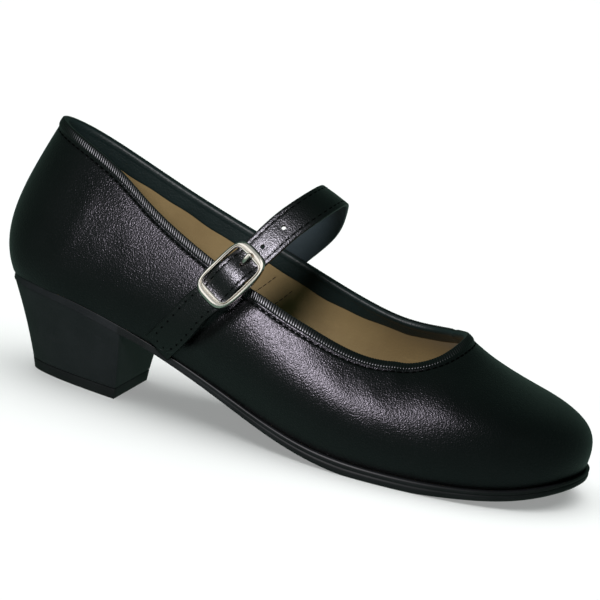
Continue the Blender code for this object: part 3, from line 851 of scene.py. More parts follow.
@dataclass
class Upper:
    """Vamp and quarters with their lining, the bound topline, its facing and its stitching."""

    last: Last
    wall: float = 1.8
    around: int = 360
    wall_rows: int = 38
    stitch_down: float = 4.6
    stitch_samples: int = 1400
    stitches: StitchRow = StitchRow(pitch=2.7, length=2.0, thickness=0.5)
    groove_depth: float = 0.32
    groove_half_width: float = 0.55
    fold_puff: float = 0.16
    puff_up: float = 1.2
    puff_half_width: float = 0.7
    lining_crease: float = 0.6
    lining_from: float = -1.0
    facing_wave: float = 0.35
    facing_taper: float = 0.5
    throat_half_width: float = 0.14
    wavy_from: float = 8.0
    rib_pitch: float = 1.05
    rib_height: float = 0.16
    rib_sink: float = 0.7
    columns_per_rib: int = 6
    ribbed_rows: tuple[int, int] = (1, 9)
    downs: tuple[float, ...] = (7.4, 6.2, 5.6, 5.2, 4.9, 4.6, 4.3, 4.0, 3.7, 3.3, 2.6, 1.4, 0.5, 0.0)
    binding: Pairs = (
        (3.35, -0.10), (3.30, 0.16), (3.10, 0.38), (2.70, 0.52), (2.10, 0.60), (1.40, 0.62),
        (0.60, 0.60), (0.00, 0.52), (-0.30, 0.20), (-0.38, -0.50), (-0.38, -1.20), (-0.20, -1.80),
        (0.30, -2.20), (1.10, -2.34), (2.20, -2.34), (2.80, -2.22), (2.90, -1.60), (1.60, -0.90),
    )
    facing: Pairs = (
        (2.0, -1.70), (2.0, -2.14), (5.0, -2.18), (8.6, -2.18), (9.6, -2.12), (10.0, -1.95), (9.9, -1.70),
        (6.0, -1.62),
    )

    def build(self, workshop: Workshop) -> None:
        """Build every piece of the upper."""
        workshop.publish("upper_leather", self._shell(), (UPPER_LEATHER, TAN_LINING), ["upper"])
        # The binding's inner leg takes the facing's finish, whose lifted tone is painted light.
        workshop.publish("topline_binding", self._binding(), (BINDING_TAPE, FACING_LEATHER_PAINTED_LIGHT))
        workshop.publish("topline_facing", self._facing(), (FACING_LEATHER_PAINTED_LIGHT,))
        workshop.publish("topline_stitches", self._stitches(), (BLACK_THREAD,))

    def _rows(self, u: Array, across: Array) -> Array:
        """Return the place up the wall of each row of the shell's grid."""
        number = np.rint(across * (self.wall_rows + len(self.downs) - 1)).astype(int)
        start = self.last.below_topline(u, self.downs[0])
        share = np.minimum(number / self.wall_rows, 1.0)
        down = np.array(self.downs)[np.clip(number - self.wall_rows, 0, len(self.downs) - 1)]
        return np.where(number < self.wall_rows, share * start, self.last.below_topline(u, down))

    def _outer(self, along: Array, across: Array) -> Array:
        """Return the outer face of the leather, with its creases and its stitched fold."""
        u = along % 1.0
        v = self._rows(u, across)
        below = (1.0 - v) / (1.0 - self.last.below_topline(u, 1.0)) - self.stitch_down
        groove = self.groove_depth * bell(below, self.groove_half_width)
        puff = self.fold_puff * bell(below + self.puff_up, self.puff_half_width)
        return self.last.lifted(u, v, self.last.crease(u, v) - groove + puff)

    def _inner(self, along: Array, across: Array) -> Array:
        """Return the face of the lining."""
        u = along % 1.0
        v = self._rows(u, across)
        return self.last.lifted(u, v, self.lining_crease * self.last.crease(u, v) - self.wall)

    def _shell(self) -> BMesh:
        """Return the lasted wall: leather outside and lining inside."""
        sheet = GridSheet(self.around, self.wall_rows + len(self.downs) - 1)
        outside = list(sheet.bm.faces)
        sheet.place(self._outer)
        for face in sheet.push(outside, self._inner, keep=True):
            face.material_index = 1
        sheet.merge()
        doubled = [face for face in sheet.bm.faces if self._is_seam(sheet, face)]
        bmesh.ops.delete(sheet.bm, geom=doubled, context="FACES_ONLY")
        bmesh.ops.recalc_face_normals(sheet.bm, faces=list(sheet.bm.faces))
        return sheet.bm

    @staticmethod
    def _is_seam(sheet: GridSheet, face: bmesh.types.BMFace) -> bool:
        """Return whether a face closes the wall where the grid's two ends meet."""
        along, across = ([vert[layer] for vert in face.verts] for layer in (sheet.along, sheet.across))
        return max(along) - min(along) < 1e-5 and max(across) - min(across) > 1e-5

    def _strip(self, profile: Pairs, columns: int, extra: Callable, second: int | None = None) -> BMesh:
        """Return a closed strip round the topline.

        Args:
            profile: Distance below the topline and height over the wall, once round the section.
            columns: Faces along the topline.
            extra: Gives what is added to distance and height at a share of the topline and a row.
            second: First row of the second finish, if it has two.

        Returns:
            The strip's bmesh.
        """
        table = np.array(profile)

        def shape(along: Array, number: Array) -> Array:
            """Return the strip's points."""
            u = self.last.topline_u(along) % 1.0
            down, height = table[number].T
            more_down, more_height = extra(along, number)
            v = self.last.below_topline(u, down + more_down)
            share = np.where(height < self.lining_from, self.lining_crease, 1.0)
            return self.last.lifted(u, v, height + more_height + share * self.last.crease(u, v))

        return tube(columns, len(table), shape, second)

    def _binding(self) -> BMesh:
        """Return the binding rolled over the topline, ribbed across."""
        ribs = round(self.last.topline_length / self.rib_pitch)
        first, last = self.ribbed_rows

        def ribbed(along: Array, number: Array) -> tuple[float, Array]:
            """Return the rise of the ribs, which end at the inner edge."""
            phase = 2.0 * ((ribs * along) % 1.0) - 1.0
            wave = self.rib_height * (np.sqrt(np.clip(1.0 - phase**2, 0.0, 1.0)) - self.rib_sink)
            return 0.0, np.where((number >= first) & (number <= last), wave, 0.0)

        return self._strip(self.binding, ribs * self.columns_per_rib, ribbed, last)

    def _facing(self) -> BMesh:
        """Return the leather facing inside the topline, with its hand-cut lower edge."""
        downs = np.array(self.facing)[:, 0]

        def wavy(along: Array, number: Array) -> tuple[Array, float]:
            """Return the wander of the lower edge, which comes up at the throat."""
            turn = 2.0 * math.pi * along
            wander = self.facing_wave * (np.sin(9.0 * turn) + 0.6 * np.sin(23.0 * turn + 1.0))
            down = downs[number]
            rise = self.facing_taper * bell(along - 0.5, self.throat_half_width) * (down - downs[0])
            return np.where(down > self.wavy_from, wander, 0.0) - rise, 0.0

        return self._strip(self.facing, self.around, wavy)

    def _stitches(self) -> BMesh:
        """Return the row of stitches below the binding."""
        u = self.last.topline_u(np.linspace(0.0, 1.0, self.stitch_samples))
        v = self.last.below_topline(u, self.stitch_down)
        bm = bmesh.new()
        path = self.last.lifted(u, v, self.last.crease(u, v) - 0.5 * self.groove_depth)
        self.stitches.sew(bm, path, self.last.normal(u, v))
        return bm


@dataclass
class Sole:
    """Outsole, insole, block heel and top lift."""

    last: Last
    insole_inset: float = 2.4
    insole_cup: float = 0.5
    lift_thick: float = 4.2
    lift_taper: float = 0.1
    breast_x: float = 58.5
    back_x: float = 16.0
    half_width: float = 18.2
    shift: float = -0.6
    roundness: float = 0.84
    seat_inset: float = 1.2
    seat_outer: float = 0.1315
    seat_inner: float = 0.1283
    seat_lap: float = 0.7
    cover_run: float = 0.1
    bead_from: float = 2.2
    rim_share: float = 0.99
    hollow: float = 0.04
    heel_levels: int = 13
    sharp_angle: float = 50.0
    sock_levels: Pairs = ((0.7, 2.0), (0.2, 1.75), (0.0, 1.2), (0.0, 0.0))
    # Inset, depth, inset over the heel's seat, and lap over the heel
    edge_levels: tuple[tuple[float, float, float, float], ...] = (
        (1.30, 0.00, 1.30, 0.0), (0.55, 0.00, 0.02, 0.0), (0.20, 0.05, -0.04, 0.0),
        (0.02, 0.14, -0.04, 0.0), (0.00, 0.24, -0.06, 0.0), (0.10, 0.34, -0.06, 0.0),
        (0.34, 0.40, -0.06, 0.0), (0.34, 0.44, -0.06, 0.0), (0.14, 0.50, -0.06, 0.0),
        (0.08, 0.60, -0.06, 0.0), (0.10, 0.80, -0.06, 0.0), (0.25, 0.92, -0.06, 0.2),
        (0.70, 1.00, -0.06, 1.0), (1.60, 1.00, 0.60, 0.0),
    )

    def build(self, workshop: Workshop) -> None:
        """Build every piece under the foot."""
        workshop.publish("outsole_sheet", self._outsole(), (SOLE_SHEET, HEEL_COVER), ["outsole"])
        workshop.publish("insole_sock", self._insole(), (TAN_SOCK_PAINTED_LIGHT,), ["insole"])
        workshop.publish("heel_block", self._heel(), (HEEL_COVER,), ["heel"])
        workshop.publish("heel_top_lift", self._top_lift(), (LIFT_RUBBER,), ["top_lift"])

    def _along_seat(self, u: Array) -> Array:
        """Return how far places round the last are from the heel's back (0) to its breast (1)."""
        return np.minimum(u / self.seat_outer, (1.0 - u) / self.seat_inner)

    def _covered(self, u: Array) -> Array:
        """Return 1 over the heel's seat and 0 before its breast."""
        return np.clip((1.0 + self.cover_run - self._along_seat(u)) / self.cover_run, 0.0, 1.0)

    def _sole_sheet(
        self, inset: float, depth: float, over_seat: float, lap: float, s: Array, t: Array
    ) -> Array:
        """Return the outsole's sheet at one level of its edge.

        Args:
            inset: Distance in from the feather edge.
            depth: Share of the sole's thickness.
            over_seat: Distance in over the heel's seat.
            lap: Share of the lap over the heel.
            s: Places from the heel's back (0) to the toe (1).
            t: Places across, outer side (0) to inner side (1).

        Returns:
            Drawn points, one row each.
        """

        def edge_inset(u: Array) -> Array:
            """Return the distance in from the feather edge, which follows the heel over its seat."""
            place = self._along_seat(u)
            flat = np.clip(self.bead_from - place, 0.0, 1.0)
            plain = inset + (over_seat - inset) * flat - self.last.rows.at(u)[:, 9]
            seat = over_seat + self.seat_inset * np.clip(1.0 - place, 0.0, 1.0)
            return plain + (seat - plain) * self._covered(u)

        plan = self.last.sole_plan(s, t, edge_inset)
        top = self.last.sole_top(plan[:, 0])
        bottom = self.last.sole_bottom(plan[:, 0])
        rim = np.abs(2.0 * t - 1.0) > self.rim_share
        drop = lap * self.seat_lap * self._covered(0.5 * s) * rim
        return np.column_stack([plan, top + (bottom - top) * depth - drop])

    def _outsole(self) -> BMesh:
        """Return the outsole with the bead of its edge, covered in one with the heel over its seat."""
        bm = slab(170, 12, [partial(self._sole_sheet, *row) for row in self.edge_levels])
        breast = placed(np.array([self.breast_x, 0.0, 0.0]))[0]
        for face in bm.faces:
            face.material_index = int(face.calc_center_median().x < breast)
        return bm

    def _sock_sheet(self, inset: float, rise: float, s: Array, t: Array) -> Array:
        """Return the insole's sheet at one level."""
        plan = self.last.sole_plan(s, t, lambda u: np.full(len(u), self.insole_inset + inset))
        cup = self.insole_cup * (2.0 * t - 1.0) ** 4 if rise > 1.0 else 0.0
        return np.column_stack([plan, self.last.sole_top(plan[:, 0]) + self.last.GAP + rise + cup])

    def _insole(self) -> BMesh:
        """Return the insole with its sock, slightly cupped."""
        return slab(120, 16, [partial(self._sock_sheet, *row) for row in self.sock_levels])

    def _heel_plan(self, s: Array, t: Array, share: float) -> Array:
        """Return points in plan of the heel's section, from the top lift (0) to the seat (1)."""
        half = self.half_width * s**self.roundness
        low_x = self.back_x + (self.breast_x - self.back_x) * s * s
        inset = self.seat_inset * (1.0 - s)
        outer = self.last.edge(self.seat_outer * s, -inset)
        inner = self.last.edge(1.0 - self.seat_inner * s, -inset)
        low = np.column_stack([low_x, (2.0 * t - 1.0) * half + self.shift])
        high = outer * (1.0 - t[:, None]) + inner * t[:, None]
        return low + (high - low) * share

    def _heel_section(self, rise: float, s: Array, t: Array) -> Array:
        """Return the heel's section at a share of its height."""
        base = self.lift_thick + self.last.GAP
        plan = self._heel_plan(s, t, rise - self.hollow * math.sin(math.pi * rise))
        seat = self.last.sole_bottom(plan[:, 0]) - self.last.GAP
        return np.column_stack([plan, base + (seat - base) * rise])

    def _heel(self) -> BMesh:
        """Return the covered block heel."""
        rises = np.linspace(1.0, 0.0, self.heel_levels)
        bm = slab(40, 10, [partial(self._heel_section, rise) for rise in rises])
        soften_edges(bm, self.sharp_angle, 0.3, 3)
        return bm

    def _lift_section(self, height: float, s: Array, t: Array) -> Array:
        """Return the lift's section at a height, in line with the heel's taper."""
        share = self.lift_taper * (height / self.lift_thick - 1.0)
        return np.column_stack([self._heel_plan(s, t, share), np.full(len(s), height)])

    def _top_lift(self) -> BMesh:
        """Return the wearing piece under the heel."""
        heights = (self.lift_thick, 0.5 * self.lift_thick, 0.0)
        bm = slab(40, 10, [partial(self._lift_section, height) for height in heights])
        soften_edges(bm, self.sharp_angle, 0.12, 2)
        return bm


@dataclass
class Fastening:
    """The tab on the outer quarter, the instep strap and the buckle that joins them."""

    last: Last
    width: float = 12.4
    thick: float = 1.6
    sewn_lift: float = 0.45
    gap: float = 0.3
    binding_step: float = 0.6
    edge_stitches: StitchRow = StitchRow(pitch=3.1, length=2.1, thickness=0.5)
    tail_stitches: StitchRow = StitchRow(pitch=3.3, length=0.9, thickness=0.8)
    tab_stitches: StitchRow = StitchRow(pitch=2.7, length=1.5, thickness=0.46)
    lining_stitches: StitchRow = StitchRow(pitch=2.4, length=2.2, thickness=0.4)
    lining_depth: float = 1.85
    lining_span: tuple[float, float] = (0.12, 0.80)
    lining_lean: tuple[float, float] = (1.5, 6.0)
    stitch_inset: float = 1.85
    stitch_height: float = 0.74
    hole_spacing: float = 10.5
    hole_radius: float = 0.92
    prong_hole: tuple[float, float] = (5.6, 4.3)
    prong_hole_radius: float = 0.95
    punch_length: float = 6.0
    dimple: float = 0.18
    dimple_spread: float = 1.7
    buckle_rise: float = -0.3
    buckle_shift: float = 0.2
    buckle_length: float = 26.8
    buckle_width: float = 17.2
    buckle_squareness: float = 3.4
    opening_length: float = 19.0
    opening_width: float = 13.0
    opening_squareness: float = 8.0
    buckle_height: float = 2.0
    buckle_lift: float = 3.95
    buckle_curl: float = 0.9
    bar_radius: float = 0.8
    bar_lift: float = 3.55
    prong_radius: float = 0.74
    prong_flatness: tuple[float, float] = (0.85, 1.15)
    prong_end: float = 0.06
    notch_depth: float = 0.45
    notch_half_width: float = 0.95
    band_face: Pairs = (
        (0.00, 0.00), (0.04, 0.40), (0.16, 0.68), (0.40, 0.80), (1.05, 0.84), (1.55, 0.82),
        (1.72, 0.76), (1.85, 0.73), (1.98, 0.76), (2.15, 0.83), (2.80, 0.87), (4.20, 0.92),
    )
    rim: Pairs = (
        (0.04, 0.00), (0.00, 0.30), (0.00, 0.68), (0.05, 0.86), (0.13, 0.97), (0.21, 0.97),
        (0.27, 0.90), (0.31, 0.52), (0.36, 0.52), (0.40, 0.86), (0.54, 0.92), (0.66, 0.88),
        (0.80, 0.72), (0.91, 0.48), (0.98, 0.20), (0.97, 0.00),
    )
    along: Array = field(init=False)
    across: Array = field(init=False)
    out: Array = field(init=False)
    centre: Array = field(init=False)

    def __post_init__(self) -> None:
        """Set the buckle's own axes: along the strap, across it towards the toe, and outwards."""
        self.across = unit(np.array([0.847, -0.173, -0.4955]))
        along = np.array([0.47, 0.327, 0.789])
        self.along = unit(along - self.across * (along @ self.across))
        self.out = np.cross(self.across, self.along)
        top = self.last.surface(self._tab_u(1.0), np.array([1.0]))[0]
        self.centre = top + self.along * self.buckle_rise + self.across * self.buckle_shift

    def build(self, workshop: Workshop) -> None:
        """Build every piece of the fastening."""
        strap, tab = self._strap_path(), self._tab_path()
        # The band's underside takes the finish whose lighter blue-grey tone is painted light.
        leathers = (STRAP_LEATHER, STRAP_UNDERSIDE_PAINTED_LIGHT)
        workshop.publish("tab_leather", self._band(tab, 90, False, []), leathers, ["strap_tab"])
        workshop.publish("tab_stitches", self._tab_stitches(tab), (BLACK_THREAD,))
        holes = self._holes(strap)
        band = self._band(strap, 420, True, holes)
        piece = workshop.publish("strap_leather", band, leathers, ["strap"])
        self._punch(piece, strap, holes)
        workshop.publish("strap_stitches", self._strap_stitches(strap), (BLACK_THREAD,))
        workshop.publish("lining_stitches", self._lining_stitches(), (BROWN_THREAD,))
        workshop.publish("buckle_plate", self._frame(), (NICKEL_PLATE,), ["buckle_frame"])
        workshop.publish("buckle_tongue", self._prong(), (NICKEL_PLATE,), ["buckle_prong"])

    @staticmethod
    def _tab_u(v: float) -> Array:
        """Return where the tab's middle runs on the outer quarter."""
        return np.atleast_1d(0.161 + 0.046 * v + 0.023 * v * v)

    @staticmethod
    def _inner_u(v: float) -> Array:
        """Return where the strap's middle runs on the inner quarter."""
        return np.atleast_1d(0.835 - 0.045 * v - 0.025 * v * v)

    def _point(self, along: Array, across: Array, height: Array) -> Array:
        """Return drawn points from distances along, across and out of the buckle's middle."""
        parts = np.broadcast_arrays(*(np.atleast_1d(part) for part in (along, across, height)))
        return self.centre + np.stack(parts, axis=1) @ np.stack([self.along, self.across, self.out])

    def _at_buckle(self, bends: Pairs) -> list[tuple[Array, Array]]:
        """Return a ribbon's centres and width directions at the buckle."""
        return [(self._point(along, 0.0, height)[0], self.across) for along, height in bends]

    def _on_wall(self, u: Array, v: float, height: float) -> tuple[Array, Array]:
        """Return a ribbon's centre and width direction where it lies on the upper."""
        where = np.array([v])
        normal = self.last.normal(u, where)[0]
        return self.last.lifted(u, where, height)[0], unit(self.across - normal * (self.across @ normal))

    def _on_arch(self, point: ArchPoint) -> tuple[Array, Array]:
        """Return a ribbon's centre and width direction on the strap's free arch."""
        lean = math.radians(point.lean)
        width = np.array([math.cos(lean), self.across[1], -math.sin(lean)])
        return np.array([point.x, point.y, point.z]), unit(width)

    def _strap_path(self) -> Ribbon:
        """Return the strap's path from its free tip over the instep to the inner feather edge."""
        sewn = self.sewn_lift + self.thick / 2
        over_tab = sewn + self.thick + self.gap
        stations = [self._on_wall(self._tab_u(v), v, over_tab) for v in (0.10, 0.30, 0.50, 0.68)]
        stations += self._at_buckle(STRAP_BENDS)
        stations += [self._on_arch(point) for point in ARCH]
        stations += [self._on_wall(self._inner_u(v), v, sewn + self.binding_step) for v in (0.99, 0.93)]
        stations += [self._on_wall(self._inner_u(v), v, sewn) for v in (0.75, 0.50, 0.25, 0.04)]
        return Ribbon(stations)

    def _tab_path(self) -> Ribbon:
        """Return the tab's path from the outer feather edge to the centre bar of the buckle."""
        sewn = self.sewn_lift + self.thick / 2
        stations = [self._on_wall(self._tab_u(v), v, sewn) for v in (0.045, 0.25, 0.50, 0.75)]
        return Ribbon(stations + self._at_buckle(TAB_BENDS))

    def _section(self) -> Array:
        """Return the band's section once round: distance to the side, height over its middle."""
        half = self.width / 2
        left = np.array(self.band_face) - (half, 0.0)
        middle = np.array([[0.0, left[-1, 1] + 0.02]])
        under = np.array([(half - 0.06, -0.36), (half - 0.3, -0.68), (half - 0.8, -0.79), (2.0, -0.8)])
        flip = np.array([-1.0, 1.0])
        return np.vstack([left, middle, left[::-1] * flip, under, under[::-1] * flip])

    def _band(self, path: Ribbon, columns: int, rounded: bool, holes: Sequence[float]) -> BMesh:
        """Return a band of stitched leather along a path.

        Args:
            path: The path that it follows.
            columns: Faces along it.
            rounded: Whether its start is a round tip.
            holes: Distances of the punched holes, which dimple the leather.

        Returns:
            The band's bmesh.
        """
        section = self._section()
        half = self.width / 2

        def shape(along: Array, number: Array) -> Array:
            """Return the band's points."""
            distance = along * path.length
            into_tip = np.clip(half - distance, 0.0, half) if rounded else np.zeros_like(distance)
            side = section[number, 0] * np.sqrt(half**2 - into_tip**2) / half
            height = section[number, 1].copy()
            for hole in holes:
                away = np.hypot(distance - hole, side)
                dip = self.dimple * bell(away, self.dimple_spread * self.hole_radius)
                height -= np.where(height > 0.0, dip, 0.0)
            return path.points(distance, side, height)

        return tube(columns, len(section), shape, 2 * len(self.band_face) + 1)

    def _holes(self, path: Ribbon) -> list[float]:
        """Return the distances along the strap of the prong's hole and of the two holes beyond it."""
        along, height = self.prong_hole
        first = path.nearest(self._point(along, 0.0, height)[0])
        return [first + number * self.hole_spacing for number in range(3)]

    def _punch(self, piece: bpy.types.Object, path: Ribbon, holes: Sequence[float]) -> None:
        """Cut the round holes through the strap and keep the cut mesh.

        Args:
            piece: The strap.
            path: Its path.
            holes: Distances of the holes along it.
        """
        punches = bmesh.new()
        for number, hole in enumerate(holes):
            radius = self.prong_hole_radius if number == 0 else self.hole_radius
            centre, width, out = (rows[0] for rows in path.frames(hole))
            rod(punches, pose(centre, width, np.cross(out, width), out), radius, self.punch_length, 28)
        mesh = bpy.data.meshes.new("punch")
        punches.to_mesh(mesh)
        punches.free()
        punch = bpy.data.objects.new("punch", mesh)
        bpy.context.scene.collection.objects.link(punch)
        cut = piece.modifiers.new("holes", "BOOLEAN")
        cut.operation = "DIFFERENCE"
        cut.object = punch
        evaluated = piece.evaluated_get(bpy.context.evaluated_depsgraph_get())
        kept = bpy.data.meshes.new_from_object(evaluated)
        piece.modifiers.remove(cut)
        piece.data = kept
        bpy.data.objects.remove(punch)
        LOG.info("strap punched: %d faces", len(kept.polygons))

    def _edge_row(self, path: Ribbon, side: Side, start: float, end: float) -> tuple[Array, Array]:
        """Return the points and outward directions of a stitched edge of a band."""
        distance = np.linspace(start, end, 500)
        offset = side.value * (self.width / 2 - self.stitch_inset)
        return path.points(distance, offset, self.stitch_height), path.frames(distance)[2]

    def _strap_stitches(self, path: Ribbon) -> BMesh:
        """Return the stitches of the strap: needle marks up to the buckle, long stitches beyond it."""
        bm = bmesh.new()
        half = self.width / 2
        under = path.nearest(self._point(-0.4 * self.buckle_length, 0.0, self.buckle_lift)[0])
        for side in Side:
            self.tail_stitches.sew(bm, *self._edge_row(path, side, half, under))
            self.edge_stitches.sew(bm, *self._edge_row(path, side, under, path.length - 2.0))
        turn = np.linspace(-0.5 * math.pi, 0.5 * math.pi, 60)
        radius = half - self.stitch_inset
        distance = half - radius * np.cos(turn)
        round_tip = path.points(distance, radius * np.sin(turn), self.stitch_height)
        self.tail_stitches.sew(bm, round_tip, path.frames(distance)[2])
        return bm

    def _tab_stitches(self, path: Ribbon) -> BMesh:
        """Return the stitches that hold both edges of the tab down."""
        bm = bmesh.new()
        for side in Side:
            self.tab_stitches.sew(bm, *self._edge_row(path, side, 2.0, path.length - 8.0))
        return bm

    def _lining_stitches(self) -> BMesh:
        """Return the strap's stitches where they come through the lining of the inner quarter."""
        bm = bmesh.new()
        places, leans = (np.linspace(*span, 120) for span in (self.lining_span, self.lining_lean))
        for side in Side:
            offset = side.value * (self.width / 2 - self.stitch_inset)
            u, v = np.array([self._beside(v, offset + lean) for v, lean in zip(places, leans)]).T
            self.lining_stitches.sew(bm, self.last.lifted(u, v, -self.lining_depth), -self.last.normal(u, v))
        return bm

    def _beside(self, v: float, offset: float) -> Array:
        """Return the place on the wall beside the strap's middle on the inner quarter.

        Args:
            v: Place up the wall.
            offset: Distance to the side of the strap's middle.

        Returns:
            Places round the last and up the wall.
        """
        u = self._inner_u(v)
        slopes = [slope[0] for slope in self.last.slopes(u, np.array([v]))]
        width = self._on_wall(u, v, 0.0)[1] * offset
        return np.array([u[0], v]) + np.linalg.lstsq(np.stack(slopes, axis=1), width, rcond=None)[0]

    @staticmethod
    def _oval(angle: Array, length: float, width: float, squareness: float) -> Array:
        """Return how far a squared oval reaches from its middle at angles from its length."""
        along = np.abs(np.cos(angle)) / (length / 2)
        across = np.abs(np.sin(angle)) / (width / 2)
        return (along**squareness + across**squareness) ** (-1.0 / squareness)

    def _frame(self) -> BMesh:
        """Return the buckle's frame: inner bead, groove, broad outer bevel, and its centre bar."""
        rim = np.array(self.rim)

        def shape(along: Array, number: Array) -> Array:
            """Return the frame's points."""
            share, rise = rim[number].T
            angle = 2.0 * math.pi * (along % 1.0)
            inner = self._oval(angle, self.opening_length, self.opening_width, self.opening_squareness)
            outer = self._oval(angle, self.buckle_length, self.buckle_width, self.buckle_squareness)
            reach = inner + (outer - inner) * share
            long_side, wide_side = reach * np.cos(angle), reach * np.sin(angle)
            low = self.buckle_lift + self.buckle_curl * (long_side / (self.buckle_length / 2)) ** 2
            bead = (rise > 0.4) & (share < 0.35) & (long_side > 0.0)
            notch = self.notch_depth * np.exp(-((wide_side / self.notch_half_width) ** 4)) * bead
            return self._point(long_side, wide_side, low + self.buckle_height * rise - notch)

        bm = tube(220, len(rim), shape)
        matrix = pose(self._point(0.0, 0.0, self.bar_lift)[0], self.along, self.out, -self.across)
        rod(bm, matrix, self.bar_radius, (self.buckle_width + self.opening_width) / 2, 20)
        return bm

    def _prong(self) -> BMesh:
        """Return the prong from the centre bar, up through the strap, to rest in the frame's notch."""
        bends = np.array(PRONG_BENDS)
        runs = np.linspace(bends[0, 0], bends[-1, 0], 49)
        rises = SmoothCurve(bends[:, 0], bends[:, 1]).at(runs)[:, 0]
        leans = np.arctan(np.gradient(rises, runs))
        tall, wide = self.prong_flatness
        sides = 14

        def shape(along: Array, number: Array) -> Array:
            """Return the prong's points."""
            place = np.rint(along * (len(runs) - 1)).astype(int)
            ends = np.clip(np.minimum(along, 1.0 - along) / self.prong_end, 0.0, 1.0)
            radius = self.prong_radius * np.sqrt(np.clip(1.0 - (1.0 - ends) ** 2, 0.09, 1.0))
            turn = 2.0 * math.pi * number / sides
            lift, side = radius * tall * np.cos(turn), radius * wide * np.sin(turn)
            lean = leans[place]
            return self._point(runs[place] - lift * np.sin(lean), side, rises[place] + lift * np.cos(lean))

        return tube(len(runs) - 1, sides, shape)


def hang(light: bpy.types.Light, away: Vector, receivers: Collection) -> bpy.types.Object:
    """Hang a light.

    Args:
        light: The light.
        away: Direction from the shoe to the light.
        receivers: The pieces that it falls on.

    Returns:
        The lamp.
    """
    lamp = bpy.data.objects.new(light.name, light)
    bpy.context.scene.collection.objects.link(lamp)
    lamp.rotation_euler = away.to_track_quat("Z", "Y").to_euler()
    lamp.light_linking.receiver_collection = receivers
    return lamp


@dataclass(frozen=True)
class SoftBox:
    """A near studio light, aimed at the shoe. Angles are in degrees, sizes in metres, power in watts."""

    name: str
    azimuth: float
    elevation: float
    distance: float
    size: float
    power: float
    colour: Colour

    def build(self, target: Vector, receivers: Collection) -> None:
        """Hang the light and aim it at a point, for the pieces that it falls on."""
        light = bpy.data.lights.new(self.name, "AREA")
        light.shape = "DISK"
        light.size = self.size
        light.energy = self.power
        light.color = self.colour
        away = direction(self.azimuth, self.elevation)
        lamp = hang(light, away, receivers)
        lamp.location = target + away * self.distance
        lamp.visible_camera = False


@dataclass(frozen=True)
class SkyLight:
    """A wide, far light. Angles are in degrees, strength in watts per square metre."""

    name: str
    azimuth: float
    elevation: float
    spread: float
    strength: float
    casts_shadow: bool = True

    def build(self, receivers: Collection) -> None:
        """Hang the light, for the pieces that it falls on."""
        light = bpy.data.lights.new(self.name, "SUN")
        light.energy = self.strength
        light.angle = math.radians(self.spread)
        light.use_shadow = self.casts_shadow
        hang(light, direction(self.azimuth, self.elevation), receivers)


KEY_LIGHT = SoftBox("key_light", -7.0, 28.5, 0.2, 0.045, 0.46, (1.0, 0.96, 1.0))
FLOOR_LIGHTS = (
    SkyLight("floor_light", 0.0, 90.0, 80.0, 1.8),
    SkyLight("floor_fill", 0.0, 90.0, 80.0, 1.8, casts_shadow=False),
)
METAL_LIGHTS = (
    SkyLight("metal_light", 15.0, 32.0, 130.0, 1.0),
    SkyLight("metal_light_right", 52.0, 24.0, 70.0, 1.0),
    SkyLight("metal_light_left", -42.0, 16.0, 60.0, 0.6),
)


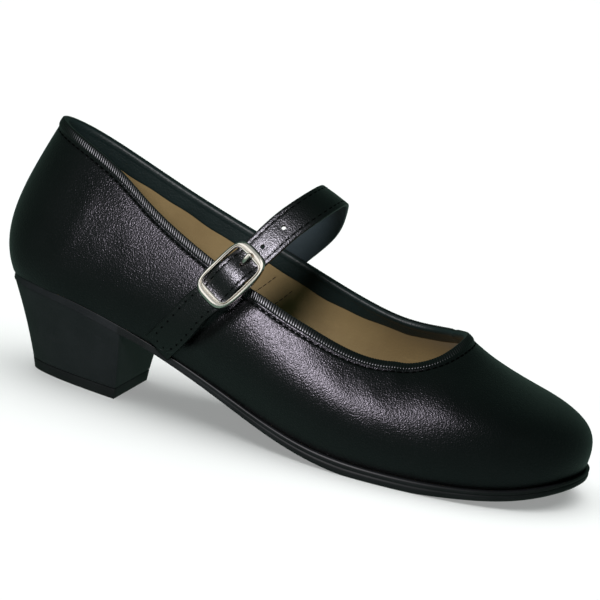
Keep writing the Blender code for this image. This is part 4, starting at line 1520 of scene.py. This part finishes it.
@dataclass(frozen=True)
class Studio:
    """Floor, surrounding light, lamps and the camera at the photograph's viewing angle."""

    azimuth: float = 16.0
    elevation: float = 14.0
    roll: float = 10.0
    distance: float = 900.0
    pixels_per_mm: float = 2.593
    frame_pixels: float = 600.0
    centre_pixel: tuple[float, float] = (299.7, 318.6)
    look_at: tuple[float, float, float] = (122.0, 0.0, 45.0)
    sensor: float = 36.0
    floor_size: float = 14.0
    floor_colour: Colour = (0.86, 0.86, 0.86)
    room_below: Colour = (0.15, 0.24, 0.20)
    room_level: Colour = (0.082, 0.135, 0.11)
    room_above: Colour = (0.045, 0.08, 0.066)

    def build(self, shoe: Collection, metal: Collection) -> None:
        """Set up everything that isn't part of the shoe.

        Args:
            shoe: The pieces that the key light falls on.
            metal: The bright pieces that have lights of their own.
        """
        scene = bpy.context.scene
        scene.view_settings.view_transform = "Standard"
        self._room(scene)
        KEY_LIGHT.build(Vector(placed(np.array(self.look_at))), shoe)
        for lamps, receivers in ((FLOOR_LIGHTS, self._floor(scene)), (METAL_LIGHTS, metal)):
            for lamp in lamps:
                lamp.build(receivers)
        self._camera(scene)
        LOG.info("studio ready")

    def _room(self, scene: bpy.types.Scene) -> None:
        """Surround the shoe with a dim room that is darker overhead."""
        world = bpy.data.worlds.new("studio")
        world.use_nodes = True
        wiring = Wiring(world.node_tree)
        facing = wiring.node("ShaderNodeTexCoord", {}).outputs["Generated"]
        rise = wiring.node("ShaderNodeSeparateXYZ", {0: facing}).outputs["Z"]
        colours = (self.room_below, self.room_level, self.room_above)
        below, level, above = ((*colour, 1.0) for colour in colours)
        lower = wiring.blend(wiring.remap(rise, -1.0, 0.0), below, level)
        colour = wiring.blend(wiring.remap(rise, 0.0, 1.0), lower, above)
        wiring.fill(world.node_tree.nodes["Background"], {"Color": colour})
        scene.world = world

    def _floor(self, scene: bpy.types.Scene) -> Collection:
        """Lay a plain pale floor, and return the collection that holds it."""
        bm = bmesh.new()
        bmesh.ops.create_grid(bm, x_segments=1, y_segments=1, size=self.floor_size / 2)
        mesh = bpy.data.meshes.new("floor")
        bm.to_mesh(mesh)
        bm.free()
        surface = bpy.data.materials.new("pale_floor")
        surface.use_nodes = True
        inputs = {"Base Color": (*self.floor_colour, 1.0), "Roughness": 0.9, "Specular IOR Level": 0.1}
        Wiring(surface.node_tree).fill(surface.node_tree.nodes["Principled BSDF"], inputs)
        mesh.materials.append(surface)
        floor = bpy.data.objects.new("floor", mesh)
        floor.visible_glossy = False
        ground = bpy.data.collections.new("ground")
        scene.collection.children.link(ground)
        ground.objects.link(floor)
        return ground

    def _camera(self, scene: bpy.types.Scene) -> None:
        """Set the camera at the photograph's angle, rolled as the photograph is."""
        turn, tilt = math.radians(self.azimuth), math.radians(self.roll)
        back = direction(self.azimuth, self.elevation)
        right = Vector((math.cos(turn), math.sin(turn), 0.0))
        up = back.cross(right)
        off_x, off_y = (self.frame_pixels / 2 - pixel for pixel in self.centre_pixel)
        level_x = math.cos(tilt) * off_x + math.sin(tilt) * off_y
        level_y = math.cos(tilt) * off_y - math.sin(tilt) * off_x
        target = Vector(self.look_at) + (right * level_x - up * level_y) / self.pixels_per_mm
        place = Vector(placed(np.array(target + back * self.distance)))
        camera_right = right * math.cos(tilt) + up * math.sin(tilt)
        camera_up = up * math.cos(tilt) - right * math.sin(tilt)
        data = bpy.data.cameras.new("photo_camera")
        data.sensor_width = self.sensor
        data.lens = self.sensor * self.pixels_per_mm * self.distance / self.frame_pixels
        data.clip_start = 0.01
        data.clip_end = 50.0
        camera = bpy.data.objects.new("photo_camera", data)
        scene.collection.objects.link(camera)
        axes = Matrix((camera_right, camera_up, back)).transposed().to_4x4()
        camera.matrix_world = Matrix.Translation(place) @ axes
        scene.camera = camera


def main() -> None:
    """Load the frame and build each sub-assembly in order."""
    logging.basicConfig(level=logging.INFO, format="%(name)s: %(message)s")
    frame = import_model()
    LOG.info("frame has %d nodes", len(frame["nodes"]))
    shoe, metal = (bpy.data.collections.new(name) for name in ("dressed_shoe", "bright_metal"))
    for collection in (shoe, metal):
        bpy.context.scene.collection.children.link(collection)
    Studio().build(shoe, metal)
    workshop = Workshop(shoe, metal)
    last = Last()
    for part in (Upper, Sole, Fastening):
        part(last).build(workshop)


if __name__ == "__main__":
    main()
